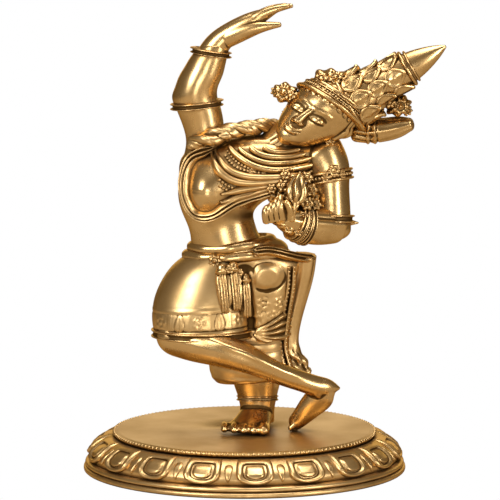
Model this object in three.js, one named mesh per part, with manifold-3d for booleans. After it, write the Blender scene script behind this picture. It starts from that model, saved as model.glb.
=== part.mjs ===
// A cast brass dancer on a round lotus base, about 235 mm tall, as separately cast pieces.
// Millimetres, +Z up. The front of the figure faces -Y and its raised hand is on the -X side.
import * as THREE from "three";
import { mergeVertices } from "three/addons/utils/BufferGeometryUtils.js";
import Module from "manifold-3d";

const wasm = await Module();
wasm.setup();

// ---- Sizes that can be changed on their own -------------------------------------------------

const figureHeight = 215; // top of the deck to the tip of the raised hand
const seam = 0.3; // gap between neighbouring castings

const baseDiameter = 162; // across the foot rim of the lotus base
const baseHeight = 17.6;
const baseWall = 3.2;
const rimWidth = 6.5; // flat ring that the base stands on
const petalCount = 18;
const petalRelief = 1.5; // depth of the grooves between the petals
const petalTurn = 4; // degrees from the very front to the middle of the first petal

const deckDiameter = 132.6;
const deckThickness = 2.3;
const deckEdgeRound = 0.6;
const ledgeWidth = 12; // inner ledge of the lotus base that carries the deck

const studDiameter = 6;
const studInFoot = 9; // length of stud inside the standing foot
const studBelow = 10; // length of stud under the deck
const washerDiameter = 15;
const washerThickness = 1.5;
const nutAcrossFlats = 10;
const nutHeight = 5;
const rivetDiameter = 3; // holds the crossed foot's toes
const rivetInFoot = 3;
const rivetHeadDiameter = 6.5;
const rivetHeadHeight = 1.4;
const holePlay = 0.35; // between a hole's wall and what passes through it

const ringWidth = 4; // bangles and armlets, along the limb
const ringThickness = 1.9; // how far they stand out of it
const girdleWidth = 8.4;
const girdleThickness = 3.2;
const hemWidth = 4;
const hemThickness = 1.6;
const necklaceWidth = 4.4;
const necklaceThickness = 2.6;
const foldWidth = 7.2; // one fold of the shawl
const foldThickness = 3.6;
const crownBandWidth = 5.5;
const crownBandThickness = 2.4;

// ---- Solids ---------------------------------------------------------------------------------

const drawnHeight = 215; // the stations below are drawn for a figure of this height
const k = figureHeight / drawnHeight;
const sunk = 1.2; // how deep a ring starts inside the limb before the limb is cut out of it

const deckBottom = baseHeight + seam;
const deckTop = deckBottom + deckThickness;
const footLevel = deckTop + seam;

// The bare geometry, with the vertices that its faces share merged.
function closed(geometry) {
  const bare = geometry.clone();
  bare.deleteAttribute("normal");
  bare.deleteAttribute("uv");
  return mergeVertices(bare, 1e-4);
}

// Turns a closed three.js geometry into a manifold-3d solid.
function solidOf(geometry) {
  const merged = closed(geometry);
  return new wasm.Manifold(
    new wasm.Mesh({
      numProp: 3,
      vertProperties: merged.attributes.position.array,
      triVerts: new Uint32Array(merged.index.array),
    }),
  );
}

function geometryOf(solid) {
  const mesh = solid.getMesh();
  const geometry = new THREE.BufferGeometry();
  geometry.setAttribute("position", new THREE.BufferAttribute(mesh.vertProperties, 3));
  geometry.setIndex(new THREE.BufferAttribute(mesh.triVerts, 1));
  geometry.computeVertexNormals();
  return geometry;
}

const join = (...solids) => solids.reduce((whole, next) => whole.add(next));
const cut = (solid, ...tools) => tools.reduce((rest, tool) => rest.subtract(tool), solid);

// A point of the drawn figure, measured from the deck, in the base's frame.
const inPlace = ([x, y, z]) => new THREE.Vector3(x * k, y * k, z * k + footLevel);

// A skin stretched over stations [x, y, z, half width, half depth] of the drawn figure.
// The cross-sections of a level limb lie flat, and those of any other limb stand square to it.
class Limb {
  constructor(stations, { depthTowards = [0, 1, 0], level = false } = {}) {
    this.spine = new THREE.CatmullRomCurve3(stations.map(inPlace));
    this.girth = new THREE.CatmullRomCurve3(
      stations.map(([, , , halfWidth, halfDepth]) => new THREE.Vector3(halfWidth * k, halfDepth * k, 0)),
    );
    this.depthTowards = new THREE.Vector3(...depthTowards);
    this.level = level;
    this.length = this.spine.getLength();
  }

  // The cross-section at a share of the length. Past either end the limb goes straight on.
  section(share) {
    const within = THREE.MathUtils.clamp(share, 0, 1);
    const t = this.spine.getUtoTmapping(within);
    const along = this.spine.getTangent(t);
    if (this.level) along.set(0, 0, Math.sign(along.z));
    const centre = this.spine.getPoint(t).addScaledVector(along, (share - within) * this.length);
    const deep = this.depthTowards.clone().addScaledVector(along, -along.dot(this.depthTowards)).normalize();
    const across = new THREE.Vector3().crossVectors(deep, along);
    const girth = this.girth.getPoint(t);
    return { centre, along, deep, across, halfWidth: girth.x, halfDepth: girth.y };
  }

  // A point on the skin, or lifted off it. Angle 0 is to the side, -90 degrees is the front.
  skin(share, angle, lift = 0) {
    const { centre, across, deep, halfWidth, halfDepth } = this.section(share);
    return centre
      .addScaledVector(across, (halfWidth + lift) * Math.cos(angle))
      .addScaledVector(deep, (halfDepth + lift) * Math.sin(angle));
  }

  // The solid between two places on the limb. A dome is the height of a rounded end.
  solid({ from = 0, to = 1, sides = 14, rings = 6, grow = 0, startDome = 0, endDome = 0 } = {}) {
    const dome = (section, angle, height) => {
      const shift = Math.sin(angle) * height * k + Math.sign(height) * grow;
      return hoop(section, shift, Math.cos(angle), grow);
    };
    const [low, high] = [0.65, 1.2];
    const start = this.section(from);
    const end = this.section(to);
    const hoops = [];
    if (startDome) hoops.push(dome(start, high, -startDome), dome(start, low, -startDome));
    for (let i = 0; i <= rings; i++) {
      const reach = i === 0 && !startDome ? -grow : i === rings && !endDome ? grow : 0;
      hoops.push(hoop(this.section(from + ((to - from) * i) / rings), reach, 1, grow));
    }
    if (endDome) hoops.push(dome(end, low, endDome), dome(end, high, endDome));
    return solidOf(stretchOver(hoops, sides));
  }
}

// What lies beyond a place on a limb, a seam clear of what lies before it.
function beyond(limb, share, options) {
  return cut(limb.solid({ ...options, from: share }), limb.solid({ to: share, rings: 4, grow: seam }));
}

function hoop(section, shift, share, grow) {
  return {
    ...section,
    centre: section.centre.clone().addScaledVector(section.along, shift),
    halfWidth: section.halfWidth * share + grow,
    halfDepth: section.halfDepth * share + grow,
  };
}

// A cylinder whose rows of vertices are moved onto the hoops.
function stretchOver(hoops, sides) {
  const rows = hoops.length - 1;
  const geometry = new THREE.CylinderGeometry(1, 1, 1, sides, rows);
  const position = geometry.attributes.position;
  for (let i = 0; i < position.count; i++) {
    const row = Math.round((position.getY(i) + 0.5) * rows);
    const { centre, across, deep, halfWidth, halfDepth } = hoops[row];
    const point = centre
      .clone()
      .addScaledVector(across, position.getX(i) * halfWidth)
      .addScaledVector(deep, -position.getZ(i) * halfDepth);
    position.setXYZ(i, point.x, point.y, point.z);
  }
  return geometry;
}

// A ring round a limb. It starts inside the skin, and the limb is cut out of it later.
// The slope moves it along the limb as it goes round.
function ringOn(limb, t, width, thickness, { slope = 0, sides = 12, grow = 0 } = {}) {
  const geometry = closed(new THREE.TorusGeometry(2, 1, 6, sides));
  const position = geometry.attributes.position;
  const square = (value) => Math.sign(value) * Math.sqrt(Math.abs(value));
  for (let i = 0; i < position.count; i++) {
    const angle = Math.atan2(position.getY(i), position.getX(i));
    const out = square(Math.hypot(position.getX(i), position.getY(i)) - 2);
    const lift = (out > 0 ? thickness + grow : sunk) * out;
    const shift = (width / 2 + grow) * square(position.getZ(i)) + slope * k * Math.cos(angle);
    const point = limb.skin(t + shift / limb.length, angle, lift);
    position.setXYZ(i, point.x, point.y, point.z);
  }
  return solidOf(geometry);
}

// A rounded lump. Its radii are along X, Y and Z before it leans over towards +X.
function lump(centre, radii, { lean = 0, grow = 0, across = 10, up = 7 } = {}) {
  const geometry = new THREE.SphereGeometry(1, across, up);
  geometry.rotateX(Math.PI / 2).scale(...radii.map((radius) => radius * k + grow)).rotateY(lean);
  const { x, y, z } = inPlace(centre);
  return solidOf(geometry.translate(x, y, z));
}

// A turned piece about the vertical through [x, y]. Its profile goes up the outside.
function turned(profile, segments, [x, y] = [0, 0]) {
  const points = profile.map(([r, z]) => new THREE.Vector2(r, z));
  return solidOf(new THREE.LatheGeometry(points, segments).rotateX(Math.PI / 2).translate(x, y, 0));
}

function rod(radius, bottom, top, [x, y], segments = 16) {
  const geometry = new THREE.CylinderGeometry(radius, radius, top - bottom, segments);
  return solidOf(geometry.rotateX(Math.PI / 2).translate(x, y, (top + bottom) / 2));
}

// ---- Base and what fixes the figure to it ---------------------------------------------------

const baseRadius = baseDiameter / 2;
const deckRadius = deckDiameter / 2;
const studPlace = [6.4 * k, 2 * k];
const rivetPlace = [25.2 * k, -3.4 * k];
const studHole = studDiameter / 2 + holePlay;
const rivetHole = rivetDiameter / 2 + holePlay;

// Foot rim, groove, and the bulge that carries the petals, from the floor up.
function lotusOutline() {
  const rimTop = baseHeight * 0.27;
  const shoulder = deckRadius + 2.2;
  const bulge = (share) => THREE.MathUtils.lerp(shoulder, baseRadius, share);
  return [
    [baseRadius - 1, 0],
    [baseRadius, rimTop * 0.35],
    [baseRadius - 0.4, rimTop * 0.85],
    [baseRadius - 2.6, rimTop],
    [bulge(0.88), baseHeight * 0.4],
    [bulge(0.74), baseHeight * 0.64],
    [bulge(0.45), baseHeight * 0.84],
    [shoulder - 1.5, baseHeight],
  ];
}

// 1 on a petal's back, 0 in the groove between two petals and above and below them.
// The angle is from the middle of a petal.
function petalShape(angle, share) {
  const lobe = Math.abs(Math.cos((angle * petalCount) / 2)) ** 0.6;
  return lobe * Math.sin(Math.PI * THREE.MathUtils.clamp((share - 0.27) / 0.73, 0, 1));
}

function lotusBase() {
  const outline = lotusOutline();
  const ledgeInner = deckRadius - ledgeWidth;
  const ceiling = baseHeight - baseWall;
  const hollow = [
    [ledgeInner, baseHeight],
    [ledgeInner, ceiling],
    [deckRadius - baseWall, ceiling],
    [baseRadius - rimWidth - 1.5, baseHeight * 0.45],
    [baseRadius - rimWidth - 1, 0],
  ];
  const points = [...outline, ...hollow, outline[0]].map(([r, z]) => new THREE.Vector2(r, z));
  const turn = THREE.MathUtils.degToRad(petalTurn);
  const geometry = new THREE.LatheGeometry(points, petalCount * 4, turn).rotateX(Math.PI / 2);
  const position = geometry.attributes.position;
  for (let i = 0; i < position.count; i++) {
    const row = i % points.length; // LatheGeometry writes one whole profile after another
    if (row < 4 || row >= outline.length) continue;
    const [x, y, z] = [position.getX(i), position.getY(i), position.getZ(i)];
    const share = z / baseHeight;
    const radius = Math.hypot(x, y);
    const relief = petalShape(Math.atan2(x, -y) - turn, share);
    const inward = (1 - relief) * petalRelief * Math.sin(Math.PI * share);
    position.setXYZ(i, x * (1 - inward / radius), y * (1 - inward / radius), z);
  }
  return solidOf(geometry);
}

function deckPlate() {
  const disc = turned(
    [
      [0, deckBottom],
      [deckRadius - deckEdgeRound, deckBottom],
      [deckRadius, deckBottom + deckEdgeRound],
      [deckRadius, deckTop - deckEdgeRound],
      [deckRadius - deckEdgeRound, deckTop],
      [0, deckTop],
    ],
    60,
  );
  return cut(
    disc,
    rod(studHole, deckBottom - 1, deckTop + 1, studPlace),
    rod(rivetHole, deckBottom - 1, deckTop + 1, rivetPlace),
  );
}

const studBottom = deckBottom - studBelow;
const studTop = deckTop + studInFoot;
const washerTop = deckBottom - seam;
const washerBottom = washerTop - washerThickness;
const nutTop = washerBottom - seam;
const nutBottom = nutTop - nutHeight;
const rivetTop = deckTop + rivetInFoot;

function figureStud() {
  const radius = studDiameter / 2;
  const chamfer = studDiameter * 0.12;
  const end = [
    [0, studBottom],
    [radius - chamfer, studBottom],
    [radius, studBottom + chamfer],
    [radius, studTop - chamfer],
    [radius - chamfer, studTop],
    [0, studTop],
  ];
  return turned(end, 16, studPlace);
}

function studWasher() {
  const disc = rod(washerDiameter / 2, washerBottom, washerTop, studPlace, 24);
  return cut(disc, rod(studHole, washerBottom - 1, washerTop + 1, studPlace));
}

function studNut() {
  const corner = nutAcrossFlats / 2 / Math.cos(Math.PI / 6);
  const hexagon = rod(corner, nutBottom, nutTop, studPlace, 6);
  return cut(hexagon, rod(studHole, nutBottom - 1, nutTop + 1, studPlace));
}

function toeRivet() {
  const shank = rod(rivetDiameter / 2, washerTop - rivetHeadHeight / 2, rivetTop, rivetPlace, 12);
  return join(shank, rod(rivetHeadDiameter / 2, washerTop - rivetHeadHeight, washerTop, rivetPlace, 16));
}

const studBore = () => rod(studHole, 0, studTop + holePlay, studPlace);
const rivetBore = () => rod(rivetHole, 0, rivetTop + holePlay, rivetPlace, 12);
const aboveDeck = () => rod(2 * baseRadius, footLevel, footLevel + figureHeight, [0, 0], 8);

// ---- Figure: the limbs it is stretched over -------------------------------------------------

const leg = new Limb([
  [6.4, 2.5, 3, 8.6, 7.4],
  [6.4, 2.5, 9, 8.8, 7.2],
  [6.5, 3, 16, 9.9, 8.2],
  [6.2, 3.5, 24, 12, 10],
  [5.5, 3.5, 34, 13.5, 11],
]);
const ankleAt = 0.26;
const sole = new Limb(
  [
    [6.6, 9.5, 3.9, 6.6, 3.6],
    [6, 3, 4.9, 8.4, 4.7],
    [4.4, -6, 4, 10.2, 3.8],
    [2.8, -13.5, 2.9, 11.6, 2.8],
    [2.2, -16.5, 2.6, 11.4, 2.3],
  ],
  { depthTowards: [0, 0, 1] },
);
const cuff = new Limb([
  [2.4, 2, 23.5, 17.5, 12.5],
  [2.2, 2, 28, 20, 13.8],
  [2.4, 2, 35, 20.6, 14],
  [3.4, 2, 44, 18.6, 13.6],
  [5, 2, 50, 16.5, 13.2],
]);
const pelvis = new Limb(
  [
    [5, 1.5, 58, 18, 14],
    [2.4, 1.5, 68, 22.6, 15],
    [0.4, 1.5, 78, 27, 16],
    [-0.4, 1.5, 87, 29, 16],
    [-4.6, 1.5, 94, 22, 14],
  ],
  { level: true },
);
const crossedThigh = new Limb(
  [
    [-9, 1, 91, 16, 14],
    [-15.6, 0.5, 84, 19.5, 17],
    [-18.6, -1, 75, 23.2, 19],
    [-20.6, -3, 65, 25, 20],
    [-21.2, -5, 55, 24.8, 19.6],
    [-20.9, -6.5, 47.5, 23.6, 18.2],
  ],
  { level: true },
);
const standingThigh = new Limb(
  [
    [10, 2.5, 84, 17, 15],
    [9, 2.5, 66, 15.5, 15],
    [8, 2.5, 51, 15.5, 14],
  ],
  { level: true },
);
const shin = new Limb([
  [-32, -8, 46.5, 11.4, 14],
  [-23, -14.5, 44, 11.2, 12],
  [-11, -20, 42, 9.6, 9.4],
  [0, -22, 39.2, 8, 8],
  [10, -21.5, 35, 5.9, 6.8],
  [20, -19, 30.4, 4.8, 5.8],
  [30, -15.5, 26.2, 4.7, 5.3],
  [37, -13, 23.4, 5, 5],
]);
const crossedFoot = new Limb([
  [44, -11, 21.6, 4, 4.4],
  [38.8, -10.5, 18.8, 6.6, 5.4],
  [33.6, -8.6, 13.4, 6.3, 5.6],
  [29, -6, 7.8, 5, 5.4],
  [25.4, -3.6, 3.8, 4, 5.2],
  [22.6, -2, 2.4, 2.4, 4.6],
]);
const sash = new Limb([
  [30, 3, 88, 6, 8.5],
  [29, 3.5, 78, 5.6, 7.8],
  [26.4, 4, 66, 5, 7],
  [23, 4, 52, 4.8, 6.6],
  [22.6, 4, 40, 5, 6.8],
  [25, 4, 32, 6.4, 7.2],
  [26.4, 4, 27, 6.8, 7.6],
]);
const tassel = new Limb([
  [-4, -17, 90.5, 3, 2.6],
  [-2.6, -18, 82, 2.4, 2.6],
  [-0.4, -19, 72, 2.8, 2.8],
  [1.6, -20, 61.5, 1.8, 2],
]);
const torso = new Limb(
  [
    [-6, 1, 85, 20, 13.6],
    [-7.6, 1, 92, 19, 13],
    [-10, 0.5, 99, 17.6, 12.2],
    [-12, 0, 105, 17.6, 12],
    [-13.4, -0.5, 111, 19.2, 12.8],
    [-10.4, -1, 119, 25.4, 15],
    [-3, -1, 127, 33, 16.5],
    [2.6, -0.5, 134.5, 37.5, 15.5],
    [6.4, 0, 140.5, 38.5, 13],
    [8.5, 0.5, 145.5, 30, 10.5],
  ],
  { level: true },
);
const breasts = [
  { centre: [-20, -13.5, 124], radii: [14, 8.5, 12.5] },
  { centre: [22, -12.5, 121], radii: [14.5, 8.5, 12.5] },
];
const girdleReach = girdleWidth / 2 / k;
const girdleOut = girdleThickness / k;
const belt = new Limb(
  [
    [-4.4, 1.5, 94.4 - girdleReach, 20.2 + girdleOut, 11.8 + girdleOut],
    [-4.8, 1.5, 94.4, 20.6 + girdleOut, 12 + girdleOut],
    [-5.8, 1.2, 94.4 + girdleReach, 18 + girdleOut, 11 + girdleOut],
  ],
  { level: true },
);
const neck = new Limb([
  [18, -0.5, 142, 12, 9.5],
  [22, -0.5, 148, 9.6, 8.6],
  [27, -0.8, 154, 8.8, 8.4],
]);
const raisedArm = new Limb(
  [
    [-19.5, 1, 138, 14.5, 10.5],
    [-20.5, 1, 146, 12.6, 10.4],
    [-22, 1, 156.2, 11.8, 10],
    [-24.4, 0.5, 162.5, 12.2, 10.2],
    [-25.6, 0, 168, 12, 10.4],
    [-24.4, -0.6, 173, 11.8, 10.1],
    [-21.8, -1, 178.2, 11.6, 9.7],
    [-19.5, -1.2, 183.5, 10.8, 9],
    [-17.6, -1.6, 188.5, 9.8, 8],
    [-14.6, -2, 194.4, 6.8, 6],
  ],
  { level: true },
);
const elbowAt = 0.45;
const elbowSlope = 1.2; // rise of its ring towards +X
const wristAt = 0.925;
const wristSlope = -1.5;
const raisedPalm = new Limb([
  [-12.4, -2, 196.2, 5.2, 5],
  [-8.1, -2.2, 199.3, 5.4, 4.8],
  [-2, -2.6, 203.4, 5.2, 4.6],
  [4, -3, 206.6, 4.6, 4.2],
  [10, -3.2, 209.3, 3.4, 3.4],
  [17, -3.2, 212.2, 2.1, 2.4],
  [24, -3.2, 214, 1.2, 1.5],
]);
const raisedThumb = new Limb([
  [-4, -5.4, 199.6, 3, 3],
  [3, -7.2, 202, 2.8, 2.8],
  [10, -8, 203.6, 2, 2.2],
  [17.6, -8, 204.6, 1.2, 1.3],
]);
const bentArm = new Limb([
  [37, 0, 139, 13, 10.5],
  [41, -0.5, 132, 11.6, 11],
  [42.4, -1.5, 124, 10, 10.4],
  [43, -3, 113, 9.8, 10.2],
  [43, -4.8, 102, 10.2, 10.2],
]);
const armletAt = 0.32;
const bentElbowAt = 0.88;
const forearm = new Limb([
  [43.6, -6, 102.4, 10, 9.6],
  [37, -12, 100.2, 10, 9],
  [29, -17, 102.5, 9.4, 8.4],
  [22, -21, 106.5, 8.2, 7.4],
  [16.5, -24, 110.5, 6.4, 6.2],
]);
const braceletAt = 0.66;
const bud = new Limb([
  [21, -30.5, 111, 1.8, 1.8],
  [22.5, -30, 117, 1.8, 1.8],
  [24, -28, 122, 5, 4],
  [25.2, -26.5, 127.5, 6.4, 4.6],
  [26.4, -25.6, 132.5, 4.4, 3.6],
  [27.2, -25, 137, 1.4, 1.4],
]);
const scarf = new Limb([
  [-28, -8, 146, 3.6, 3.6],
  [-20, -9.5, 149.5, 4.6, 4.4],
  [-9, -8, 152.4, 4.6, 4.4],
  [2, -5, 153.6, 4.6, 4.6],
  [12, 3, 153.6, 4.6, 4.8],
]);
const spire = new Limb([
  [54, -1, 166.4, 16.4, 14],
  [62, -1, 170.6, 13.6, 12.5],
  [69, -1, 174.4, 11, 11],
  [78, -1, 180.4, 10.4, 9.4],
  [86, -1, 186.4, 7.6, 7],
  [93, -1, 190, 4.4, 4.2],
  [99.6, -1, 193.2, 1.1, 1.1],
]);
const hairKnot = new Limb([
  [58, 5, 151, 6, 7],
  [64, 4.5, 150.6, 6.2, 7.4],
  [72, 4, 151.4, 5.8, 6.4],
  [79, 3.5, 153, 4, 4.4],
  [84, 3, 154, 1.6, 1.8],
]);

// ---- Figure: the pieces ---------------------------------------------------------------------

const headTilt = THREE.MathUtils.degToRad(38); // lean of the head towards +X
const headTurn = THREE.MathUtils.degToRad(22); // turn of the face towards -X
const headSpread = [1.3, 1.06, 1]; // the broad, flattened build of the whole figure
const brow = 5.2; // height of the crown's lower edge above the head's centre

// Places something drawn upright round the head's own centre: +Z to the crown, -Y the face.
const headPlace = new THREE.Matrix4()
  .makeTranslation(inPlace([36.8, -3, 158.8]))
  .multiply(new THREE.Matrix4().makeScale(...headSpread))
  .multiply(new THREE.Matrix4().makeRotationY(headTilt))
  .multiply(new THREE.Matrix4().makeRotationZ(-headTurn));

function onHead([x, y, z], radii, { grow = 0, across = 10, up = 8 } = {}) {
  const geometry = new THREE.SphereGeometry(1, across, up).rotateX(Math.PI / 2);
  geometry.scale(...radii.map((radius) => radius * k + grow)).translate(x * k, y * k, z * k);
  return solidOf(geometry.applyMatrix4(headPlace));
}

const skull = (grow = 0) =>
  join(
    onHead([0, 0.5, 3], [13.6, 15.6, 15.4], { grow, across: 14, up: 9 }),
    onHead([0, -1.5, -4.5], [11.6, 12.6, 14.2], { grow, across: 12, up: 8 }),
  );
const neckSolid = (grow = 0) => neck.solid({ grow, sides: 12, rings: 3 });

function crownBowl(grow = 0) {
  const bowl = onHead([0, 1, 3.4], [15.6, 17.4, 16.8], { grow, across: 16, up: 10 });
  const slab = new THREE.BoxGeometry(80 * k, 80 * k, 40 * k).translate(0, 0, (20 + brow) * k - grow);
  return bowl.intersect(solidOf(slab.applyMatrix4(headPlace)));
}

function crownBand(grow = 0) {
  const geometry = closed(new THREE.TorusGeometry(2, 1, 5, 20));
  const position = geometry.attributes.position;
  for (let i = 0; i < position.count; i++) {
    const angle = Math.atan2(position.getY(i), position.getX(i));
    const out = Math.hypot(position.getX(i), position.getY(i)) - 2;
    const reach = out > 0 ? (crownBandThickness + grow) * out : sunk * out;
    const x = (15.8 * k + reach) * Math.cos(angle);
    const y = (17.6 * k + reach) * Math.sin(angle) + k;
    position.setXYZ(i, x, y, (brow - 0.6) * k + (crownBandWidth / 2 + grow) * position.getZ(i));
  }
  return solidOf(geometry.applyMatrix4(headPlace));
}

const crownBandPiece = (grow = 0) => cut(crownBand(grow), skull(seam - grow), crownBowl(seam - grow));
const spireSolid = (grow = 0) => spire.solid({ grow, sides: 12, rings: 8 });

function headSolid(grow = 0) {
  const detail = { grow, across: 8, up: 6 };
  const nose = onHead([0, -14.6, -2.4], [2.1, 3.4, 4.6], detail);
  const chin = onHead([0, -12.4, -14.4], [3.6, 3.4, 3], detail);
  const ears = [-12.6, 12.6].map((x) => onHead([x, 1, -4.6], [2, 3.6, 6], detail));
  return join(skull(grow), neckSolid(grow), nose, chin, ...ears);
}

function torsoSolid(grow = 0) {
  const trunk = torso.solid({ sides: 18, rings: 10, grow, endDome: 3 });
  const detail = { grow, across: 12, up: 7 };
  return join(trunk, ...breasts.map(({ centre, radii }) => lump(centre, radii, detail)));
}

const shinSolid = (grow = 0) => shin.solid({ grow, rings: 9, startDome: 11, endDome: 2 });
const cuffSolid = (grow = 0) => cuff.solid({ grow, sides: 16, rings: 5, startDome: 2 });
const skirt = (grow = 0) =>
  join(
    pelvis.solid({ grow, sides: 16, rings: 4 }),
    crossedThigh.solid({ grow, sides: 16, rings: 5 }),
    standingThigh.solid({ grow, sides: 12, rings: 2 }),
  );
const upperArm = (grow = 0) => raisedArm.solid({ to: elbowAt, rings: 4, grow });
const raisedForearm = (grow = 0) => raisedArm.solid({ from: elbowAt, to: wristAt, grow });
const bentUpperArm = (grow = 0) => bentArm.solid({ to: bentElbowAt, grow, startDome: 7 });
const forearmSolid = (grow = 0) => forearm.solid({ grow, startDome: 5 });
const beltSolid = (grow = 0) => belt.solid({ grow, sides: 18, rings: 3 });
const hemRing = (grow = 0) => ringOn(crossedThigh, 0.945, hemWidth, hemThickness, { sides: 16, grow });

function foot() {
  const toes = [0, 1, 2, 3, 4].map((i) => {
    const size = i === 0 ? 2.7 : 2.35 - 0.12 * i;
    const radii = [size, size * 1.25, size * 0.9];
    return lump([10.4 - 4.5 * i, -18.6 + 0.27 * i * i, 2.6], radii, { across: 6, up: 3 });
  });
  const ankle = leg.solid({ to: ankleAt, rings: 4 });
  const cast = join(sole.solid({ startDome: 5, endDome: 2, sides: 12, rings: 4 }), ankle, ...toes);
  return cut(cast.intersect(aboveDeck()), studBore());
}

function standingLeg() {
  return cut(beyond(leg, ankleAt, { rings: 4 }), cuffSolid(seam), studBore());
}

function crossedToes() {
  const cast = crossedFoot.solid({ rings: 6, startDome: 3.4, endDome: 2 });
  return cut(cast.intersect(aboveDeck()), shinSolid(seam), rivetBore());
}

const elbowRing = (grow = 0) =>
  ringOn(raisedArm, elbowAt, ringWidth, ringThickness, { slope: elbowSlope, grow });
const wristRing = (grow = 0) =>
  ringOn(raisedArm, wristAt, ringWidth, ringThickness, { slope: wristSlope, grow });

function raisedHand() {
  const palm = raisedPalm.solid({ sides: 10, rings: 7, startDome: 2, endDome: 1.2 });
  const thumb = raisedThumb.solid({ sides: 8, rings: 3, startDome: 2, endDome: 1 });
  const wrist = raisedArm.solid({ from: wristAt - 0.1, to: wristAt, rings: 2, grow: seam });
  return cut(join(palm, thumb), wrist, wristRing(seam));
}

function bentHand(grow = 0) {
  const palm = lump([14, -25.6, 112.4], [6.6, 5.2, 6.4], { grow });
  const fingers = [0, 1, 2, 3].map((i) =>
    new Limb([
      [15.5 - 3.1 * i, -29.5, 112 - 0.6 * i, 2, 2],
      [14 - 3 * i, -31, 117.5 - 0.8 * i, 1.9, 1.9],
      [13.4 - 2.8 * i, -29.4, 122.6 - 1.6 * i, 1.6, 1.6],
    ]).solid({ grow, sides: 6, rings: 2, endDome: 1.6 }),
  );
  return join(palm, ...fingers);
}

// The front of the chest at a place [x, z] of the drawn figure, lifted off it.
function chestFront(x, z, lift) {
  const [point, limit] = [inPlace([x, 0, z]), 0.98];
  let [low, high] = [0, 1];
  while (high - low > 1e-3) {
    const middle = (low + high) / 2;
    if (torso.section(middle).centre.z < point.z) low = middle;
    else high = middle;
  }
  const { centre, halfWidth, halfDepth } = torso.section(low);
  const aside = THREE.MathUtils.clamp((point.x - centre.x) / halfWidth, -limit, limit);
  const fronts = [centre.y - halfDepth * Math.sqrt(1 - aside * aside)];
  for (const breast of breasts) {
    const [cx, cy, cz] = breast.centre;
    const [rx, ry, rz] = breast.radii;
    const off = ((x - cx) / rx) ** 2 + ((z - cz) / rz) ** 2;
    if (off < 1) fronts.push(cy * k - ry * k * Math.sqrt(1 - off));
  }
  const edge = centre.x + aside * (halfWidth + lift);
  return new THREE.Vector3(Math.abs(aside) < limit ? point.x : edge, Math.min(...fronts) - lift, point.z);
}

// A strap laid over places [x, z] on the chest.
function strap(places, width, thickness) {
  const line = new THREE.CatmullRomCurve3(places.map(([x, z]) => chestFront(x, z, thickness * 0.3)));
  const outline = new THREE.Shape().absellipse(0, 0, thickness / 2, width / 2, 0, 2 * Math.PI);
  return solidOf(new THREE.ExtrudeGeometry(outline, { extrudePath: line, steps: 11, curveSegments: 3 }));
}

const shawlFolds = [
  [
    ...[[-18, 142], [-26, 139], [-31, 132], [-32.6, 124], [-30, 116]],
    ...[[-22, 111], [-12, 114], [4, 122], [28, 128]],
  ],
  [[-15, 141.5], [-10, 134], [-2, 129.5], [10, 129], [22, 130], [30, 131]],
  [[-12, 120], [-3, 122], [8, 125], [20, 127.4], [29, 129]],
];
const necklaceLine = [[-4, 142.6], [2.3, 137], [10.7, 134.4], [21.3, 134.4], [30, 136]];
const collarLine = [[5.7, 144], [13.7, 140.4], [22.7, 140], [29, 141]];

// ---- Assembly -------------------------------------------------------------------------------

const brass = (color, roughness) => new THREE.MeshStandardMaterial({ color, roughness, metalness: 1 });
const polished = brass("#c59a46", 0.3);
const aged = brass("#a87f3a", 0.42);
const plated = brass("#b9bab8", 0.4);

const statue = new THREE.Group();

function add(name, solid, material) {
  const mesh = new THREE.Mesh(geometryOf(solid), material.clone());
  mesh.name = name;
  statue.add(mesh);
}

add("lotus_base", lotusBase(), aged);
add("deck_plate", deckPlate(), polished);
add("figure_stud", figureStud(), plated);
add("stud_washer", studWasher(), plated);
add("stud_nut", studNut(), plated);
add("toe_rivet", toeRivet(), polished);

add("standing_foot", foot(), polished);
add("standing_leg", standingLeg(), polished);
const anklet = ringOn(leg, ankleAt + 0.12, ringWidth * 0.7, ringThickness * 0.8);
add("anklet", cut(anklet, leg.solid({ grow: seam, rings: 10 })), polished);
add("trouser_cuff", cut(cuffSolid(), shinSolid(seam), hemRing(seam)), aged);
add("crossed_shin", cut(shinSolid(), hemRing(seam)), polished);
add("crossed_foot", crossedToes(), polished);

add("torso", torsoSolid(), polished);
add("girdle", cut(beltSolid(), torsoSolid(seam)), polished);
add("hips", cut(skirt(), shinSolid(seam), cuffSolid(seam), torsoSolid(seam), beltSolid(seam)), aged);
add("skirt_hem", cut(hemRing(), skirt(seam)), polished);
const sashTools = [skirt(seam), cuffSolid(seam), shinSolid(seam), beltSolid(seam)];
add("sash_tail", cut(sash.solid({ rings: 9 }), ...sashTools), aged);
const tasselTools = [skirt(seam), torsoSolid(seam), beltSolid(seam)];
add("girdle_tassel", cut(tassel.solid({ sides: 10, rings: 6, endDome: 2 }), ...tasselTools), polished);

add("raised_upper_arm", cut(upperArm(), torsoSolid(seam)), polished);
add("raised_forearm", beyond(raisedArm, elbowAt, { to: wristAt }), polished);
const elbowTools = [upperArm(seam), raisedForearm(seam)];
add("raised_armlet", cut(elbowRing(), ...elbowTools), polished);
add("raised_hand", raisedHand(), polished);
const wristTools = [raisedForearm(seam), raisedArm.solid({ from: wristAt, rings: 2, grow: seam })];
add("raised_bangle", cut(wristRing(), ...wristTools), polished);

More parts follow.
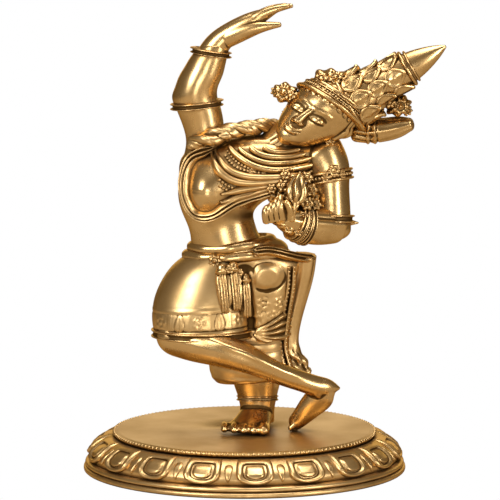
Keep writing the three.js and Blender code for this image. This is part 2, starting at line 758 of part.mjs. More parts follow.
const headTools = [headSolid(seam)];
add("bent_upper_arm", cut(bentUpperArm(), torsoSolid(seam), ...headTools), polished);
const bentTools = [bentUpperArm(seam), forearmSolid(seam), torsoSolid(seam)];
add("bent_armlet", cut(ringOn(bentArm, armletAt, ringWidth * 1.4, ringThickness), ...bentTools), polished);
add("bent_elbow_band", cut(ringOn(bentArm, bentElbowAt, ringWidth, ringThickness), ...bentTools), polished);
add("bent_forearm", cut(forearmSolid(), bentUpperArm(seam), torsoSolid(seam)), polished);
const bracelet = ringOn(forearm, braceletAt, ringWidth * 1.6, ringThickness);
add("bracelet", cut(bracelet, forearmSolid(seam), torsoSolid(seam), bentHand(seam)), polished);
add("bent_hand", cut(bentHand(), forearmSolid(seam), torsoSolid(seam)), polished);
const shawlSolid = (grow = 0) =>
  join(...shawlFolds.map((fold) => strap(fold, (foldWidth + 2 * grow) * k, (foldThickness + 2 * grow) * k)));
const chestTools = [torsoSolid(seam), upperArm(seam), bentUpperArm(seam), ...headTools];
add("shawl", cut(shawlSolid(), ...chestTools), aged);
const budTools = [torsoSolid(seam), shawlSolid(seam), forearmSolid(seam), bentHand(seam)];
add("lotus_bud", cut(bud.solid({ sides: 10, rings: 7 }), ...budTools), polished);
const necklaceSolid = (line, grow = 0) =>
  strap(line, (necklaceWidth + 2 * grow) * k, (necklaceThickness + 2 * grow) * k);
add("necklace", cut(necklaceSolid(necklaceLine), ...chestTools, shawlSolid(seam)), polished);
add("collar", cut(necklaceSolid(collarLine), ...chestTools, necklaceSolid(necklaceLine, seam)), polished);
const chains = [collarLine, necklaceLine].map((line) => necklaceSolid(line, seam));
const scarfTools = [...chestTools, ...chains, shawlSolid(seam)];
const scarfRoll = scarf.solid({ sides: 10, rings: 5, startDome: 2, endDome: 3 });
add("shoulder_scarf", cut(scarfRoll, ...scarfTools), aged);

add("head", cut(headSolid(), torsoSolid(seam), crownBowl(seam)), polished);
add("crown_bowl", crownBowl(), polished);
add("crown_band", crownBandPiece(), polished);
const crownTools = [crownBowl(seam), crownBand(seam), headSolid(seam)];
add("crown_spire", cut(spireSolid(), ...crownTools), polished);
const trimTools = [...crownTools, spireSolid(seam)];
add("crown_leaf", cut(lump([43.8, -4, 178], [10.5, 5, 5.2], { lean: 0.2 }), ...trimTools), polished);
add("ear_flower_right", cut(lump([19.5, -1, 171], [7, 5, 5.4], { lean: 0.3 }), ...trimTools), polished);
add("ear_flower_left", cut(lump([77, 1, 163.5], [7, 5, 5.4], { lean: -0.3 }), ...trimTools), polished);
const knotTools = [...trimTools, torsoSolid(seam), bentUpperArm(seam)];
add("hair_knot", cut(hairKnot.solid({ sides: 12, rings: 6 }), ...knotTools), aged);

// The origin is under the middle of the whole statue, on the surface it stands on.
const box = new THREE.Box3().setFromObject(statue);
const middle = box.getCenter(new THREE.Vector3());
statue.position.set(-middle.x, -middle.y, -box.min.z);

const object = new THREE.Group();
object.add(statue);

export default object;
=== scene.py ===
import math
import bpy
import numpy as np
from mathutils import Matrix, Vector
from mathutils.bvhtree import BVHTree


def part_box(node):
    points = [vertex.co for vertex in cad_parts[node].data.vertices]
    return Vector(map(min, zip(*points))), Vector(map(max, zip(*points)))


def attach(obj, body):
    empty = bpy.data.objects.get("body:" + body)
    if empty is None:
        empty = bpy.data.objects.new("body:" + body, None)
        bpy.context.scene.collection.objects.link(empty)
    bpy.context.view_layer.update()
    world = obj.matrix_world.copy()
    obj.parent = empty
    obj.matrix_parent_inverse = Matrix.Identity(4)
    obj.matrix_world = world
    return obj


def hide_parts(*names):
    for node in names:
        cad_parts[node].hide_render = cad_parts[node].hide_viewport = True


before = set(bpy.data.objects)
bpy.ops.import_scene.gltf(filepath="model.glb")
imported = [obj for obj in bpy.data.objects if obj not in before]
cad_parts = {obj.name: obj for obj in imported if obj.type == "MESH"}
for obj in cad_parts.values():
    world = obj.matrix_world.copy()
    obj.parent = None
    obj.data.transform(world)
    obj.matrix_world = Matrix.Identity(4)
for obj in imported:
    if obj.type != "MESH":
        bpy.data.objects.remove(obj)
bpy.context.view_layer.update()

# The figure is drawn in millimetres from the middle of the deck's top, +Z up and its front to -Y.
deckLow, deckHigh = [np.array(corner) * 1000 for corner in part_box("deck_plate")]
baseLow, baseHigh = [np.array(corner) * 1000 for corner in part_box("lotus_base")]
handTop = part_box("raised_hand")[1][2] * 1000
figureScale = (handTop - deckHigh[2]) / 215.5
home = np.array([*(baseLow + baseHigh)[:2] / 2, deckHigh[2]])


# A smooth line through points, evenly spaced along its length. Extra columns ride along.
def lineThrough(points, count, loop=False):
    p = np.asarray(points, float)
    if loop:
        p = np.vstack([p[-3:], p, p[:4]])
    step = np.maximum(np.linalg.norm(np.diff(p[:, :3], axis=0), axis=1), 1e-6) ** 0.5
    t = np.concatenate([[0], np.cumsum(step)])
    n = len(p)
    a, b = np.eye(n), np.zeros_like(p)
    for i in range(1, n - 1):
        a[i, i - 1:i + 2] = step[i - 1], 2 * (step[i - 1] + step[i]), step[i]
        b[i] = 6 * ((p[i + 1] - p[i]) / step[i] - (p[i] - p[i - 1]) / step[i - 1])
    m = np.linalg.solve(a, b)

    def at(u):
        i = np.clip(np.searchsorted(t, u) - 1, 0, n - 2)
        h = step[i][:, None]
        low = (t[i + 1] - u)[:, None] / h
        high = 1 - low
        bend = (low**3 - low) * m[i] + (high**3 - high) * m[i + 1]
        return low * p[i] + high * p[i + 1] + bend * h * h / 6

    fine = np.linspace(t[3], t[-4], 1200) if loop else np.linspace(0, t[-1], 800)
    along = np.concatenate([[0], np.cumsum(np.linalg.norm(np.diff(at(fine)[:, :3], axis=0), axis=1))])
    share = np.linspace(0, 1, count, endpoint=not loop)
    return at(np.interp(share * along[-1], along, fine))


def unit(v):
    return v / np.maximum(np.linalg.norm(v, axis=-1, keepdims=True), 1e-9)


# Evenly spaced angles round a full turn.
def fullTurn(count):
    return np.linspace(0, 2 * np.pi, count, endpoint=False)


def signedPower(value, power):
    return np.sign(value) * np.abs(value) ** power


def direction(points, loop=False):
    if loop:
        return unit(np.roll(points, -1, axis=0) - np.roll(points, 1, axis=0))
    return unit(np.gradient(points, axis=0))


# Faces of a closed skin over rows of points. An open row of hoops has one more point to close each end.
def skinFaces(rows, sides, loop=False):
    i, j = np.meshgrid(np.arange(rows if loop else rows - 1), np.arange(sides), indexing="ij")
    i2, j2 = (i + 1) % rows, (j + 1) % sides
    quads = np.stack([i * sides + j, i * sides + j2, i2 * sides + j2, i2 * sides + j], -1).reshape(-1, 4)
    faces = quads.tolist()
    if not loop:
        first, last = rows * sides, rows * sides + 1
        top = (rows - 1) * sides
        faces += [[first, (s + 1) % sides, s] for s in range(sides)]
        faces += [[last, top + s, top + (s + 1) % sides] for s in range(sides)]
    return faces


# Directions along, across and deep at every point of a limb's middle line. A level limb has level hoops.
def limbAxes(centre, level=False, towards=(0, 1, 0)):
    along = direction(centre)
    if level:
        along = np.stack([0 * along[:, 0], 0 * along[:, 0], np.sign(along[:, 2])], -1)
    aim = np.array(towards, float)
    deep = unit(aim - along * (along @ aim)[:, None])
    return along, np.cross(deep, along), deep


# A limb over stations [x, y, z, half width, half depth], its ends drawn out to domes of given lengths.
def limb(stations, sides=40, rows=60, level=False, towards=(0, 1, 0), domes=(0, 0), power=2):
    s = lineThrough(stations, rows)
    centre = s[:, :3]
    along, across, deep = limbAxes(centre, level, towards)
    angle = fullTurn(sides)
    wide = (s[:, 3:4] * signedPower(np.cos(angle), 2 / power))[:, :, None] * across[:, None, :]
    thick = (s[:, 4:5] * signedPower(np.sin(angle), 2 / power))[:, :, None] * deep[:, None, :]
    ring = centre[:, None, :] + (wide + thick)
    rings = [ring]
    for end, dome in ((0, domes[0]), (-1, domes[1])):
        if not dome:
            continue
        lift = np.linspace(0, np.pi / 2, 9)[1:-1]
        out = along[end] * (-1 if end == 0 else 1) * dome
        hoop = ring[end] - centre[end]
        caps = np.array([centre[end] + out * math.sin(a) + hoop * math.cos(a) for a in lift])
        rings = [caps[::-1]] + rings if end == 0 else rings + [caps]
    rings = np.concatenate(rings)
    ends = [centre[0] - along[0] * domes[0], centre[-1] + along[-1] * domes[1]]
    return np.concatenate([rings.reshape(-1, 3), ends]), skinFaces(len(rings), sides)


# An egg shape at a centre, its radii along X, Y and Z, turned by a matrix.
def egg(centre, radii, turn=None, sides=32, rows=18):
    lat = np.linspace(-np.pi / 2, np.pi / 2, rows + 2)[1:-1]
    angle = fullTurn(sides)
    ring = np.stack([np.outer(np.cos(lat), np.cos(angle)), np.outer(np.cos(lat), np.sin(angle)),
                     np.outer(np.sin(lat), np.ones(sides))], -1).reshape(-1, 3)
    points = np.concatenate([ring, [[0, 0, -1], [0, 0, 1]]]) * np.array(radii, float)
    if turn is not None:
        points = points @ np.array(turn).T
    return points + np.array(centre, float), skinFaces(rows, sides)


# A closed outline [r, z] turned about the upright axis.
def lathe(outline, segments):
    r, z = np.array(outline, float).T
    angle = fullTurn(segments)
    ring = np.stack([np.outer(np.cos(angle), r), np.outer(np.sin(angle), r),
                     np.outer(np.ones(segments), z)], -1)
    return ring.reshape(-1, 3), skinFaces(segments, len(r), loop=True)


# Cuts the corners of a closed outline again and again, so it comes out soft.
def softened(outline, times):
    p = np.array(outline, float)
    for _ in range(times):
        q = np.roll(p, -1, axis=0)
        p = np.stack([p * 0.75 + q * 0.25, p * 0.25 + q * 0.75], 1).reshape(-1, p.shape[1])
    return p


# A level oval line with its outward normals.
def oval(count, wide, deep, z, middle=(0, 0)):
    angle = fullTurn(count)
    c, s = np.cos(angle), np.sin(angle)
    line = np.stack([middle[0] + wide * c, middle[1] + deep * s, np.full(count, float(z))], -1)
    return line, unit(np.stack([c / wide, s / deep, 0 * angle], -1))


# A strip with the cross-section [across, up] along a line, its up side on the given normals.
def strip(line, normals, section, loop=False, spread=None, rise=None):
    line, section = np.array(line), np.array(section, float)
    along = direction(line, loop)
    up = unit(normals - along * np.sum(normals * along, axis=1, keepdims=True))
    side = np.cross(along, up)
    n = len(line)
    spread = np.ones(n) if spread is None else spread
    rise = np.ones(n) if rise is None else rise
    ring = (line[:, None, :] + (section[:, 0][None, :] * spread[:, None])[:, :, None] * side[:, None, :]
            + (section[:, 1][None, :] * rise[:, None])[:, :, None] * up[:, None, :])
    points = ring.reshape(-1, 3)
    if not loop:
        points = np.concatenate([points, ring[:1].mean(1), ring[-1:].mean(1)])
    return points, skinFaces(n, len(section), loop)


def joined(parts):
    verts, faces, start = [], [], 0
    for v, f in parts:
        verts.append(v)
        faces += [[i + start for i in face] for face in f]
        start += len(v)
    return np.concatenate(verts), faces


def addObject(name, verts, faces, edges=()):
    mesh = bpy.data.meshes.new(name)
    mesh.from_pydata(np.asarray(verts).tolist(), list(edges), faces)
    obj = bpy.data.objects.new(name, mesh)
    bpy.context.collection.objects.link(obj)
    return obj


# The mesh that an object's modifiers give takes the place of its own.
def applyAll(obj):
    depsgraph = bpy.context.evaluated_depsgraph_get()
    mesh = bpy.data.meshes.new_from_object(obj.evaluated_get(depsgraph))
    old = obj.data
    obj.modifiers.clear()
    obj.data = mesh
    bpy.data.meshes.remove(old)
    mesh.name = obj.name
    return obj


# Casts overlapping shapes into one skin and softens the creases between them.
def cast(name, parts, grain=0.5, soften=6):
    obj = addObject(name, *joined(parts))
    remesh = obj.modifiers.new("Remesh", "REMESH")
    remesh.mode, remesh.voxel_size, remesh.adaptivity = "VOXEL", grain, 0
    smooth = obj.modifiers.new("Smooth", "SMOOTH")
    smooth.factor, smooth.iterations = 0.5, soften
    return applyAll(obj)


# One field of a mesh's items, with a row for each item.
def rowsOf(items, field, width=3, kind=float):
    values = np.empty(len(items) * width, kind)
    items.foreach_get(field, values)
    return values.reshape(-1, width)


def pointsOf(obj):
    return rowsOf(obj.data.vertices, "co")


def movePoints(obj, points):
    obj.data.vertices.foreach_set("co", np.ascontiguousarray(points).ravel())
    obj.data.update()


# Raises the skin by what height(points, normals) gives, in millimetres.
def carve(obj, height):
    points, normals = pointsOf(obj), rowsOf(obj.data.vertex_normals, "vector")
    movePoints(obj, points + normals * height(points, normals)[:, None])
    return obj


# Nothing standing on the deck reaches into it.
def restOnDeck(obj):
    points = pointsOf(obj)
    points[:, 2] = np.maximum(points[:, 2], 0.0)
    movePoints(obj, points)


# Turns the faces of a closed piece outward.
def asClosed(obj):
    obj.data.calc_loop_triangles()
    triangles = rowsOf(obj.data.loop_triangles, "vertices", 3, np.int64)
    a, b, c = pointsOf(obj)[triangles].transpose(1, 0, 2)
    if np.sum(a * np.cross(b, c)) < 0:
        obj.data.flip_normals()
    return obj


# A function that takes the mean of what each point's neighbours have.
def neighbourMean(obj):
    edges, n = rowsOf(obj.data.edges, "vertices", 2, np.int64), len(obj.data.vertices)
    a, b = np.concatenate([edges, edges[:, ::-1]]).T
    many = np.maximum(np.bincount(a, minlength=n), 1)[:, None]
    return lambda q: np.stack([np.bincount(a, q[b, c], minlength=n) for c in range(q.shape[1])], -1) / many


# Smoothing passes, and the depth in mm at which a hollow of that reach counts in full.
hollowScales = ((5, 0.05), (14, 0.14), (30, 0.34))


# How far each point lies in a hollow, from -1 on a sharp ridge to 1 in a deep groove.
def markHollows(obj):
    points, normals, mean = pointsOf(obj), rowsOf(obj.data.vertex_normals, "vector"), neighbourMean(obj)
    smooth, total = points.copy(), np.zeros(len(points))
    for passes, depth in hollowScales:
        for _ in range(passes):
            smooth = mean(smooth)
        total += np.clip(np.sum((smooth - points) * normals, axis=1) / depth, -1, 1) / 3
    total = mean(total[:, None])[:, 0]
    attribute = obj.data.attributes.new("hollow", "FLOAT", "POINT")
    attribute.data.foreach_set("value", np.clip(total * 1.6, -1, 1))


# Joins objects into the first one.
def together(objects):
    for obj in bpy.context.selected_objects:
        obj.select_set(False)
    for obj in objects:
        obj.select_set(True)
    bpy.context.view_layer.objects.active = objects[0]
    with bpy.context.temp_override(active_object=objects[0], selected_editable_objects=objects):
        bpy.ops.object.join()
    return objects[0]


def bump(value, width):
    return np.exp(-((value / width) ** 2))


def step(value, low, high):
    t = np.clip((value - low) / (high - low), 0, 1)
    return t * t * (3 - 2 * t)


# Distance to a line of points, the share along it, and the way from the line to the point.
def nearLine(p, line, reach=12):
    best, share = np.full(len(p), 1e3), np.zeros(len(p))
    inside = np.flatnonzero(np.all((p > line.min(0) - reach) & (p < line.max(0) + reach), axis=1))
    for i in range(len(line) - 1):
        a, d = line[i], line[i + 1] - line[i]
        t = np.clip((p[inside] - a) @ d / max(d @ d, 1e-9), 0, 1)
        off = np.linalg.norm(p[inside] - a - t[:, None] * d, axis=1)
        closer = off < best[inside]
        best[inside[closer]] = off[closer]
        share[inside[closer]] = (i + t[closer]) / (len(line) - 1)
    last = len(line) - 1
    return best, share, p - line[np.clip((share * last).astype(int), 0, last)]


# Adds a node with its settings, and its inputs as values or links.
def addNode(tree, kind, inputs=None, **settings):
    made = tree.nodes.new(kind)
    for key, value in settings.items():
        setattr(made, key, value)
    for key, value in (inputs or {}).items():
        if isinstance(value, bpy.types.NodeSocket):
            tree.links.new(value, made.inputs[key])
        else:
            made.inputs[key].default_value = value
    return made


def newTree(name, sockets):
    tree = bpy.data.node_groups.new(name, "GeometryNodeTree")
    tree.interface.new_socket("Geometry", in_out="OUTPUT", socket_type="NodeSocketGeometry")
    for label, kind, value in sockets:
        socket = tree.interface.new_socket(label, in_out="INPUT", socket_type=kind)
        if value is not None:
            socket.default_value = value
    return tree, tree.nodes.new("NodeGroupInput").outputs, tree.nodes.new("NodeGroupOutput").inputs


# Ends a tree with copies of a shape on points, made real and given the tree's material.
def copiesOn(tree, given, out, **inputs):
    copies = addNode(tree, "GeometryNodeInstanceOnPoints", inputs)
    real = addNode(tree, "GeometryNodeRealizeInstances", {"Geometry": copies.outputs[0]})
    done = addNode(tree, "GeometryNodeSetMaterial", {
        "Geometry": real.outputs[0], "Material": given["Material"]})
    tree.links.new(done.outputs[0], out["Geometry"])
    return tree


# Copies of a shape round the upright axis.
def roundTree():
    tree, given, out = newTree("round the axis", [
        ("Shape", "NodeSocketGeometry", None), ("Count", "NodeSocketInt", 18),
        ("Material", "NodeSocketMaterial", None)])
    points = addNode(tree, "GeometryNodeMeshLine", {"Count": given["Count"], "Offset": (0, 0, 0)})
    pitch = addNode(tree, "ShaderNodeMath", {0: 2 * math.pi, 1: given["Count"]}, operation="DIVIDE")
    index = addNode(tree, "GeometryNodeInputIndex")
    angle = addNode(tree, "ShaderNodeMath", {0: index.outputs[0], 1: pitch.outputs[0]}, operation="MULTIPLY")
    turn = addNode(tree, "ShaderNodeCombineXYZ", {"Z": angle.outputs[0]})
    return copiesOn(tree, given, out, Points=points.outputs[0], Instance=given["Shape"],
                    Rotation=turn.outputs[0])


# Beads along the edges of a wire.
def beadTree():
    tree, given, out = newTree("beads on a wire", [
        ("Wire", "NodeSocketGeometry", None), ("Pitch", "NodeSocketFloat", 2.0),
        ("Bead radius", "NodeSocketFloat", 0.9), ("Material", "NodeSocketMaterial", None)])
    curve = addNode(tree, "GeometryNodeMeshToCurve", {"Mesh": given["Wire"]})
    spaced = addNode(tree, "GeometryNodeResampleCurve", {"Curve": curve.outputs[0], "Length": given["Pitch"]},
                     mode="LENGTH")
    bead = addNode(tree, "GeometryNodeMeshUVSphere", {
        "Segments": 10, "Rings": 6, "Radius": given["Bead radius"]})
    return copiesOn(tree, given, out, Points=spaced.outputs[0], Instance=bead.outputs[0])


# Runs a tree on an object with named inputs and keeps the mesh that it gives.
def runTree(obj, tree, **values):
    modifier = obj.modifiers.new(tree.name, "NODES")
    modifier.node_group = tree
    for item in tree.interface.items_tree:
        if item.item_type == "SOCKET" and item.in_out == "INPUT" and item.name.replace(" ", "") in values:
            modifier[item.identifier] = values[item.name.replace(" ", "")]
    return applyAll(obj)


ringOfCopies, rowOfBeads = roundTree(), beadTree()


def beads(name, line, pitch, radius, loop=False):
    n = len(line)
    wire = addObject(name, line, [], [(i, (i + 1) % n) for i in range(n if loop else n - 1)])
    return runTree(wire, rowOfBeads, Pitch=pitch, Beadradius=radius, Material=polishedBrass)


# sRGB hex to the linear colour that the shader takes
def colour(text):
    parts = [int(text[i:i + 2], 16) / 255 for i in (1, 3, 5)]
    return (*[c / 12.92 if c <= 0.04045 else ((c + 0.055) / 1.055) ** 2.4 for c in parts], 1)


brassLook = {
    # the dark brown is the real patina in the hollows and also the painted shade in the creases
    "bright": "#e3c28d", "warm": "#c49b5e", "patina": "#49300f", "edge": "#dfbf90",
    "crease": 3.2,  # mm, how far the painted shade reaches out of a crease between two castings
    "castGrain": 0.9, "blotch": 14.0,  # mm
}


# A value's stretch low to high, laid over another stretch.
def remap(tree, value, low, high, start, end):
    return addNode(tree, "ShaderNodeMapRange", {0: value, 1: low, 2: high, 3: start, 4: end}).outputs[0]


def blend(tree, share, one, other):
    return addNode(tree, "ShaderNodeMix", {"Factor": share, 6: one, 7: other}, data_type="RGBA").outputs[2]


def noise(tree, place, scale, detail, **more):
    inputs = {"Vector": place, "Scale": scale, "Detail": detail, **more}
    return addNode(tree, "ShaderNodeTexNoise", inputs).outputs[0]


def math2(tree, operation, one, other, clamped=True):
    return addNode(tree, "ShaderNodeMath", {0: one, 1: other}, operation=operation,
                   use_clamp=clamped).outputs[0]


# How open the surface is within a distance in metres: 1 in the open, less in a corner.
def openness(tree, distance):
    return addNode(tree, "ShaderNodeAmbientOcclusion", {"Distance": distance}, samples=6).outputs["AO"]


# A metal whose paint(tree, place) gives the inputs of its shader. Its patterns lie on Object coordinates.
def metal(name, paint):
    material = bpy.data.materials.new(name)
    material.use_nodes = True
    tree = material.node_tree
    tree.nodes.clear()
    place = addNode(tree, "ShaderNodeTexCoord").outputs["Object"]
    shader = addNode(tree, "ShaderNodeBsdfPrincipled", {"Metallic": 1.0, **paint(tree, place)})
    addNode(tree, "ShaderNodeOutputMaterial", {0: shader.outputs[0]})
    return material


# Cast brass, chased, dipped in patina and polished back: bright on every raised part, brown to near black in
# the hollows, with soft mottling left by the hand polishing.
# On top of the patina, painted shade darkens the creases where castings meet, towards the same dark brown.
def castBrass(name, polish, patina, dull):
    def paint(tree, place):
        hollow = addNode(tree, "ShaderNodeAttribute", attribute_name="hollow", attribute_type="GEOMETRY")
        # painted shade: the occlusion node darkens each crease where two castings meet
        creaseShade = remap(tree, openness(tree, brassLook["crease"] / 1000), 0.76, 0.26, 0.0, 1.0)
        sunk = remap(tree, hollow.outputs["Fac"], 0.06, 0.62, 0.0, 1.0)
        blotch = noise(tree, place, 1000 / brassLook["blotch"], 4.0, Roughness=0.6)
        grain = noise(tree, place, 1000 / brassLook["castGrain"], 2.0, Roughness=0.55)
        mottle = remap(tree, blotch, 0.35, 0.75, -0.1, 0.16 + dull)
        # the mark mixes real patina in the hollows, the random mottling and the painted crease shade
        patinaAndShadeMark = math2(tree, "ADD", math2(tree, "MAXIMUM", creaseShade, sunk, False), mottle)
        depth = math2(tree, "MULTIPLY", patinaAndShadeMark, patina)
        tone = blend(tree, blotch, colour(brassLook["bright"]), colour(brassLook["warm"]))
        skin = addNode(tree, "ShaderNodeBump", {"Height": grain, "Strength": 0.12, "Distance": 0.00012})
        return {"Base Color": blend(tree, depth, tone, colour(brassLook["patina"])),
                "Roughness": remap(tree, depth, 0.0, 1.0, polish, polish + 0.36),
                "Specular Tint": colour(brassLook["edge"]), "Normal": skin.outputs[0]}
    return metal(name, paint)


deckLook = {
    # foot is the dark brown of the painted shade round whatever stands on the deck
    "light": "#e6c283", "plain": "#cfa766", "haze": "#b08a52", "foot": "#5a3a1a", "edge": "#efe0c6",
    "line": 0.55,  # mm between the lathe's rings
    "sheen": 0.34,
}


# Sheet brass faced on a lathe: fine rings round the middle, satin, with a brown haze, and painted shade that
# turns it dark brown close to whatever stands on it.
def paintDeck(tree, place):
    middle = addNode(tree, "ShaderNodeMapping", {"Vector": place, "Location": tuple(-home * 0.001)})
    reach = addNode(tree, "ShaderNodeVectorMath", {0: middle.outputs[0]}, operation="LENGTH")
    rings = addNode(tree, "ShaderNodeTexNoise", {
        "W": reach.outputs["Value"], "Scale": 1000 / deckLook["line"], "Detail": 3.0, "Roughness": 0.7},
        noise_dimensions="1D").outputs[0]
    haze = noise(tree, place, 38.0, 4.0)
    # painted shade: the occlusion node darkens the deck where the figure and the base stand close over it
    foot = remap(tree, openness(tree, 0.006), 0.85, 0.3, 0.0, 0.8)
    tone = blend(tree, rings, colour(deckLook["plain"]), colour(deckLook["light"]))
    hazed = blend(tree, haze, tone, colour(deckLook["haze"]))
    skin = addNode(tree, "ShaderNodeBump", {"Height": rings, "Strength": 0.35, "Distance": 0.0001})
    return {"Base Color": blend(tree, foot, hazed, colour(deckLook["foot"])),
            "Roughness": remap(tree, haze, 0.3, 0.7, deckLook["sheen"], 0.46),
            "Specular Tint": colour(deckLook["edge"]), "Normal": skin.outputs[0]}


# Bright zinc over steel: pale grey with a faint spangle.
def paintZinc(tree, place):
    spangle = noise(tree, place, 420.0, 3.0)
    return {"Base Color": blend(tree, spangle, colour("#a9aaa8"), colour("#d2d2ce")),
            "Roughness": remap(tree, spangle, 0.3, 0.7, 0.26, 0.42)}


polishedBrass = castBrass("polishedCastBrass", 0.27, 0.93, 0.02)
agedBrass = castBrass("chasedCastBrass", 0.33, 0.95, 0.10)
turnedPlate, zincSteel = metal("turnedBrassPlate", paintDeck), metal("zincPlatedSteel", paintZinc)
print("materials ready")


# Puts a finished piece in its real place and has it stand for its nodes.
def finishPiece(obj, nodes, material=polishedBrass, hollows=True):
    if hollows:
        markHollows(obj)
    movePoints(obj, (pointsOf(obj) * figureScale + home) * 0.001)
    obj.data.materials.clear()
    obj.data.materials.append(material)
    obj.data.polygons.foreach_set("use_smooth", np.ones(len(obj.data.polygons), bool))
    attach(obj, "root")
    if nodes:
        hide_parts(*nodes)
    print("made", obj.name, len(obj.data.polygons), "faces")


# Lotus base: foot flange with a groove, a bulge under the petals, a light moulding on top.
base = {
    "radius": (baseHigh - baseLow)[0] / 2, "deckRadius": (deckHigh - deckLow)[0] / 2,
    "height": baseHigh[2], "floor": -deckHigh[2],
    "petals": 18, "petalTurn": 4.0, "petalMiddle": 12.2,
    "petalWidth": 20.0, "petalHeight": 12.0, "petalLift": 2.1,
    "petalSink": -1.6, "tipSink": -1.5,  # how far the undersides reach into the bulge
    "petalRun": 0.955,  # radius at the petals' middle, as a share of the base's
    "drawnRadius": 81,  # the radius that the bulge is drawn for
    "petalTop": 17.3,
}


def bulgeRadius(z):
    zs = [5.4, 7.0, 9.0, 11.5, 13.6, 15.4, 16.6, 17.4]
    drawn = np.array([76.6, 77.4, 77.4, 76.0, 73.8, 71.2, 69.0, 66.4])
    return np.interp(z, zs, drawn * base["radius"] / base["drawnRadius"])


# Points [around, up] in mm on the bulge, at the front, lifted off it.
def onBulge(points, lift):
    z = np.minimum(base["petalMiddle"] + points[:, 1], base["petalTop"])
    radius = bulgeRadius(z) + lift
    angle = points[:, 0] / (base["radius"] * base["petalRun"]) + math.radians(base["petalTurn"])
    return np.stack([radius * np.sin(angle), -radius * np.cos(angle), z + base["floor"]], -1)


# Hoops of points closed by a point at each end, copied all the way round the base.
def petalRing(name, rows, ends):
    petal = addObject(name, np.concatenate([*rows, ends]), skinFaces(len(rows), len(rows[0])))
    return asClosed(runTree(petal, ringOfCopies, Count=base["petals"], Material=agedBrass))


def makeBase():
    r, h = base["radius"], base["height"]
    outer = [
        (r - 1.6, 0), (r - 0.2, 0.3), (r, 1.4), (r - 0.3, 2.5), (r - 1.7, 2.9), (r - 1.7, 3.3),
        (r - 0.8, 3.6),
        (r - 0.9, 4.7), (r - 1.8, 5.6), (r - 4.2, 5.9),
        *[(float(bulgeRadius(z)), z) for z in (6.2, 7.5, 9, 10.5, 12, 13.5, 14.8)],
        (70.0, 16.0), (68.4, 16.8), (66.2, 17.4), (64.0, h - 0.9), (63.4, h - 0.3), (62.6, h)]
    inner = [(base["deckRadius"] - 12, h), (base["deckRadius"] - 12, h - 3.2),
             (base["deckRadius"] - 3.2, h - 3.2),
             (r - 8, 8), (r - 7.6, 0.2), (r - 7.3, 0)]
    verts, faces = lathe(softened(outer + inner, 2), 300)
    verts[:, 2] += base["floor"]
    body = asClosed(addObject("lotusBaseShell", verts, faces))

    # One petal on the bulge: a raised rim, a groove inside it and a rounded pad in the middle.
    angle = fullTurn(56)
    u, v = np.cos(angle), np.sin(angle)
    half, tall = base["petalWidth"] / 2, base["petalHeight"] / 2
    flare = 1 + 0.2 * np.clip(v, 0, 1) ** 3
    shape = np.stack([np.sign(u) * np.where(v > 0, np.abs(u) ** 0.45, np.abs(u) ** 0.86) * half * flare,
                      np.where(v > 0, np.abs(v) ** 0.5, -np.abs(v) ** 0.9) * tall], -1)
    shares = np.linspace(0, 1, 16)
    relief = np.interp(shares, [0, 0.3, 0.45, 0.50, 0.58, 0.64, 0.78, 0.92, 1.0],
                       [0.75, 0.7, 0.6, -0.2, -0.3, 0.75, 1.0, 0.8, -0.5])
    lifts = relief * base["petalLift"]
    rows = [onBulge(shape * share, lift) for share, lift in zip(shares[1:], lifts[1:])]
    rows.append(onBulge(shape, base["petalSink"]))
    ends = [onBulge(np.zeros((1, 2)), lift)[0] for lift in (lifts[0], base["petalSink"])]
    petals = petalRing("lotusPetals", rows, ends)

    # The tip of a back petal shows in each gap, low between two petals.
    tip = [(-2.6, 5.2), (-1.7, 1.0), (0, -3.6), (1.7, 1.0), (2.6, 5.2)]
    outline = softened(tip, 3)
    shift = base["radius"] * math.pi / base["petals"] * base["petalRun"]
    sink = base["tipSink"]
    hoops = ((0.35, 0.95), (0.7, 0.8), (1, 0.05), (1, sink))  # share and lift
    rows = [onBulge(outline * share + [shift, -2.1], lift) for share, lift in hoops]
    ends = [onBulge(np.array([[shift, -1.3]]), lift)[0] for lift in (0.85, sink)]
    tips = petalRing("backPetals", rows, ends)
    finishPiece(together([body, petals, tips]), ["lotus_base"], agedBrass)


makeBase()

deck = {"thickness": (deckHigh - deckLow)[2], "beadRadius": 0.85, "beadPitch": 2.6, "beadInset": 0.75,
        "beadHeight": -0.95}


def makeDeck():
    r, t = base["deckRadius"], deck["thickness"]
    outline = [(0.01, 0), (r * 0.5, 0), (r - 3.4, 0), (r - 2.2, 0), (r - 1.7, -0.35), (r - 0.9, -0.35),
               (r - 0.35, -0.6), (r - 0.35, -1.6), (r - 0.9, -t), (r - 3, -t), (r * 0.5, -t), (0.01, -t)]
    plate = asClosed(addObject("deckPlate", *lathe(outline, 300)))
    wire, _ = oval(240, r - deck["beadInset"], r - deck["beadInset"], deck["beadHeight"])
    row = beads("deckBeads", wire, deck["beadPitch"], deck["beadRadius"], loop=True)
    finishPiece(row, [], hollows=False)
    finishPiece(plate, ["deck_plate"], turnedPlate, hollows=False)


makeDeck()

for node in ("figure_stud", "stud_washer", "stud_nut", "toe_rivet"):
    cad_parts[node].data.materials.clear()
    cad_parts[node].data.materials.append(polishedBrass if node == "toe_rivet" else zincSteel)


# A line round a limb at a share of its length, lifted off its skin, with its normals.
def ringLine(stations, share, lift=0, slope=0, count=110, level=False):
    s = lineThrough(stations, 400)
    i = round(share * 399)
    along, across, deep = [axis[i] for axis in limbAxes(s[:, :3], level)]
    centre, wide, thick = s[i, :3], s[i, 3], s[i, 4]
    angle = fullTurn(count)[:, None]
    line = (centre + across * (wide + lift) * np.cos(angle) + deep * (thick + lift) * np.sin(angle)
            + along * slope * np.cos(angle))
    normals = unit(across * np.cos(angle) / wide + deep * np.sin(angle) / thick)
    return line, normals


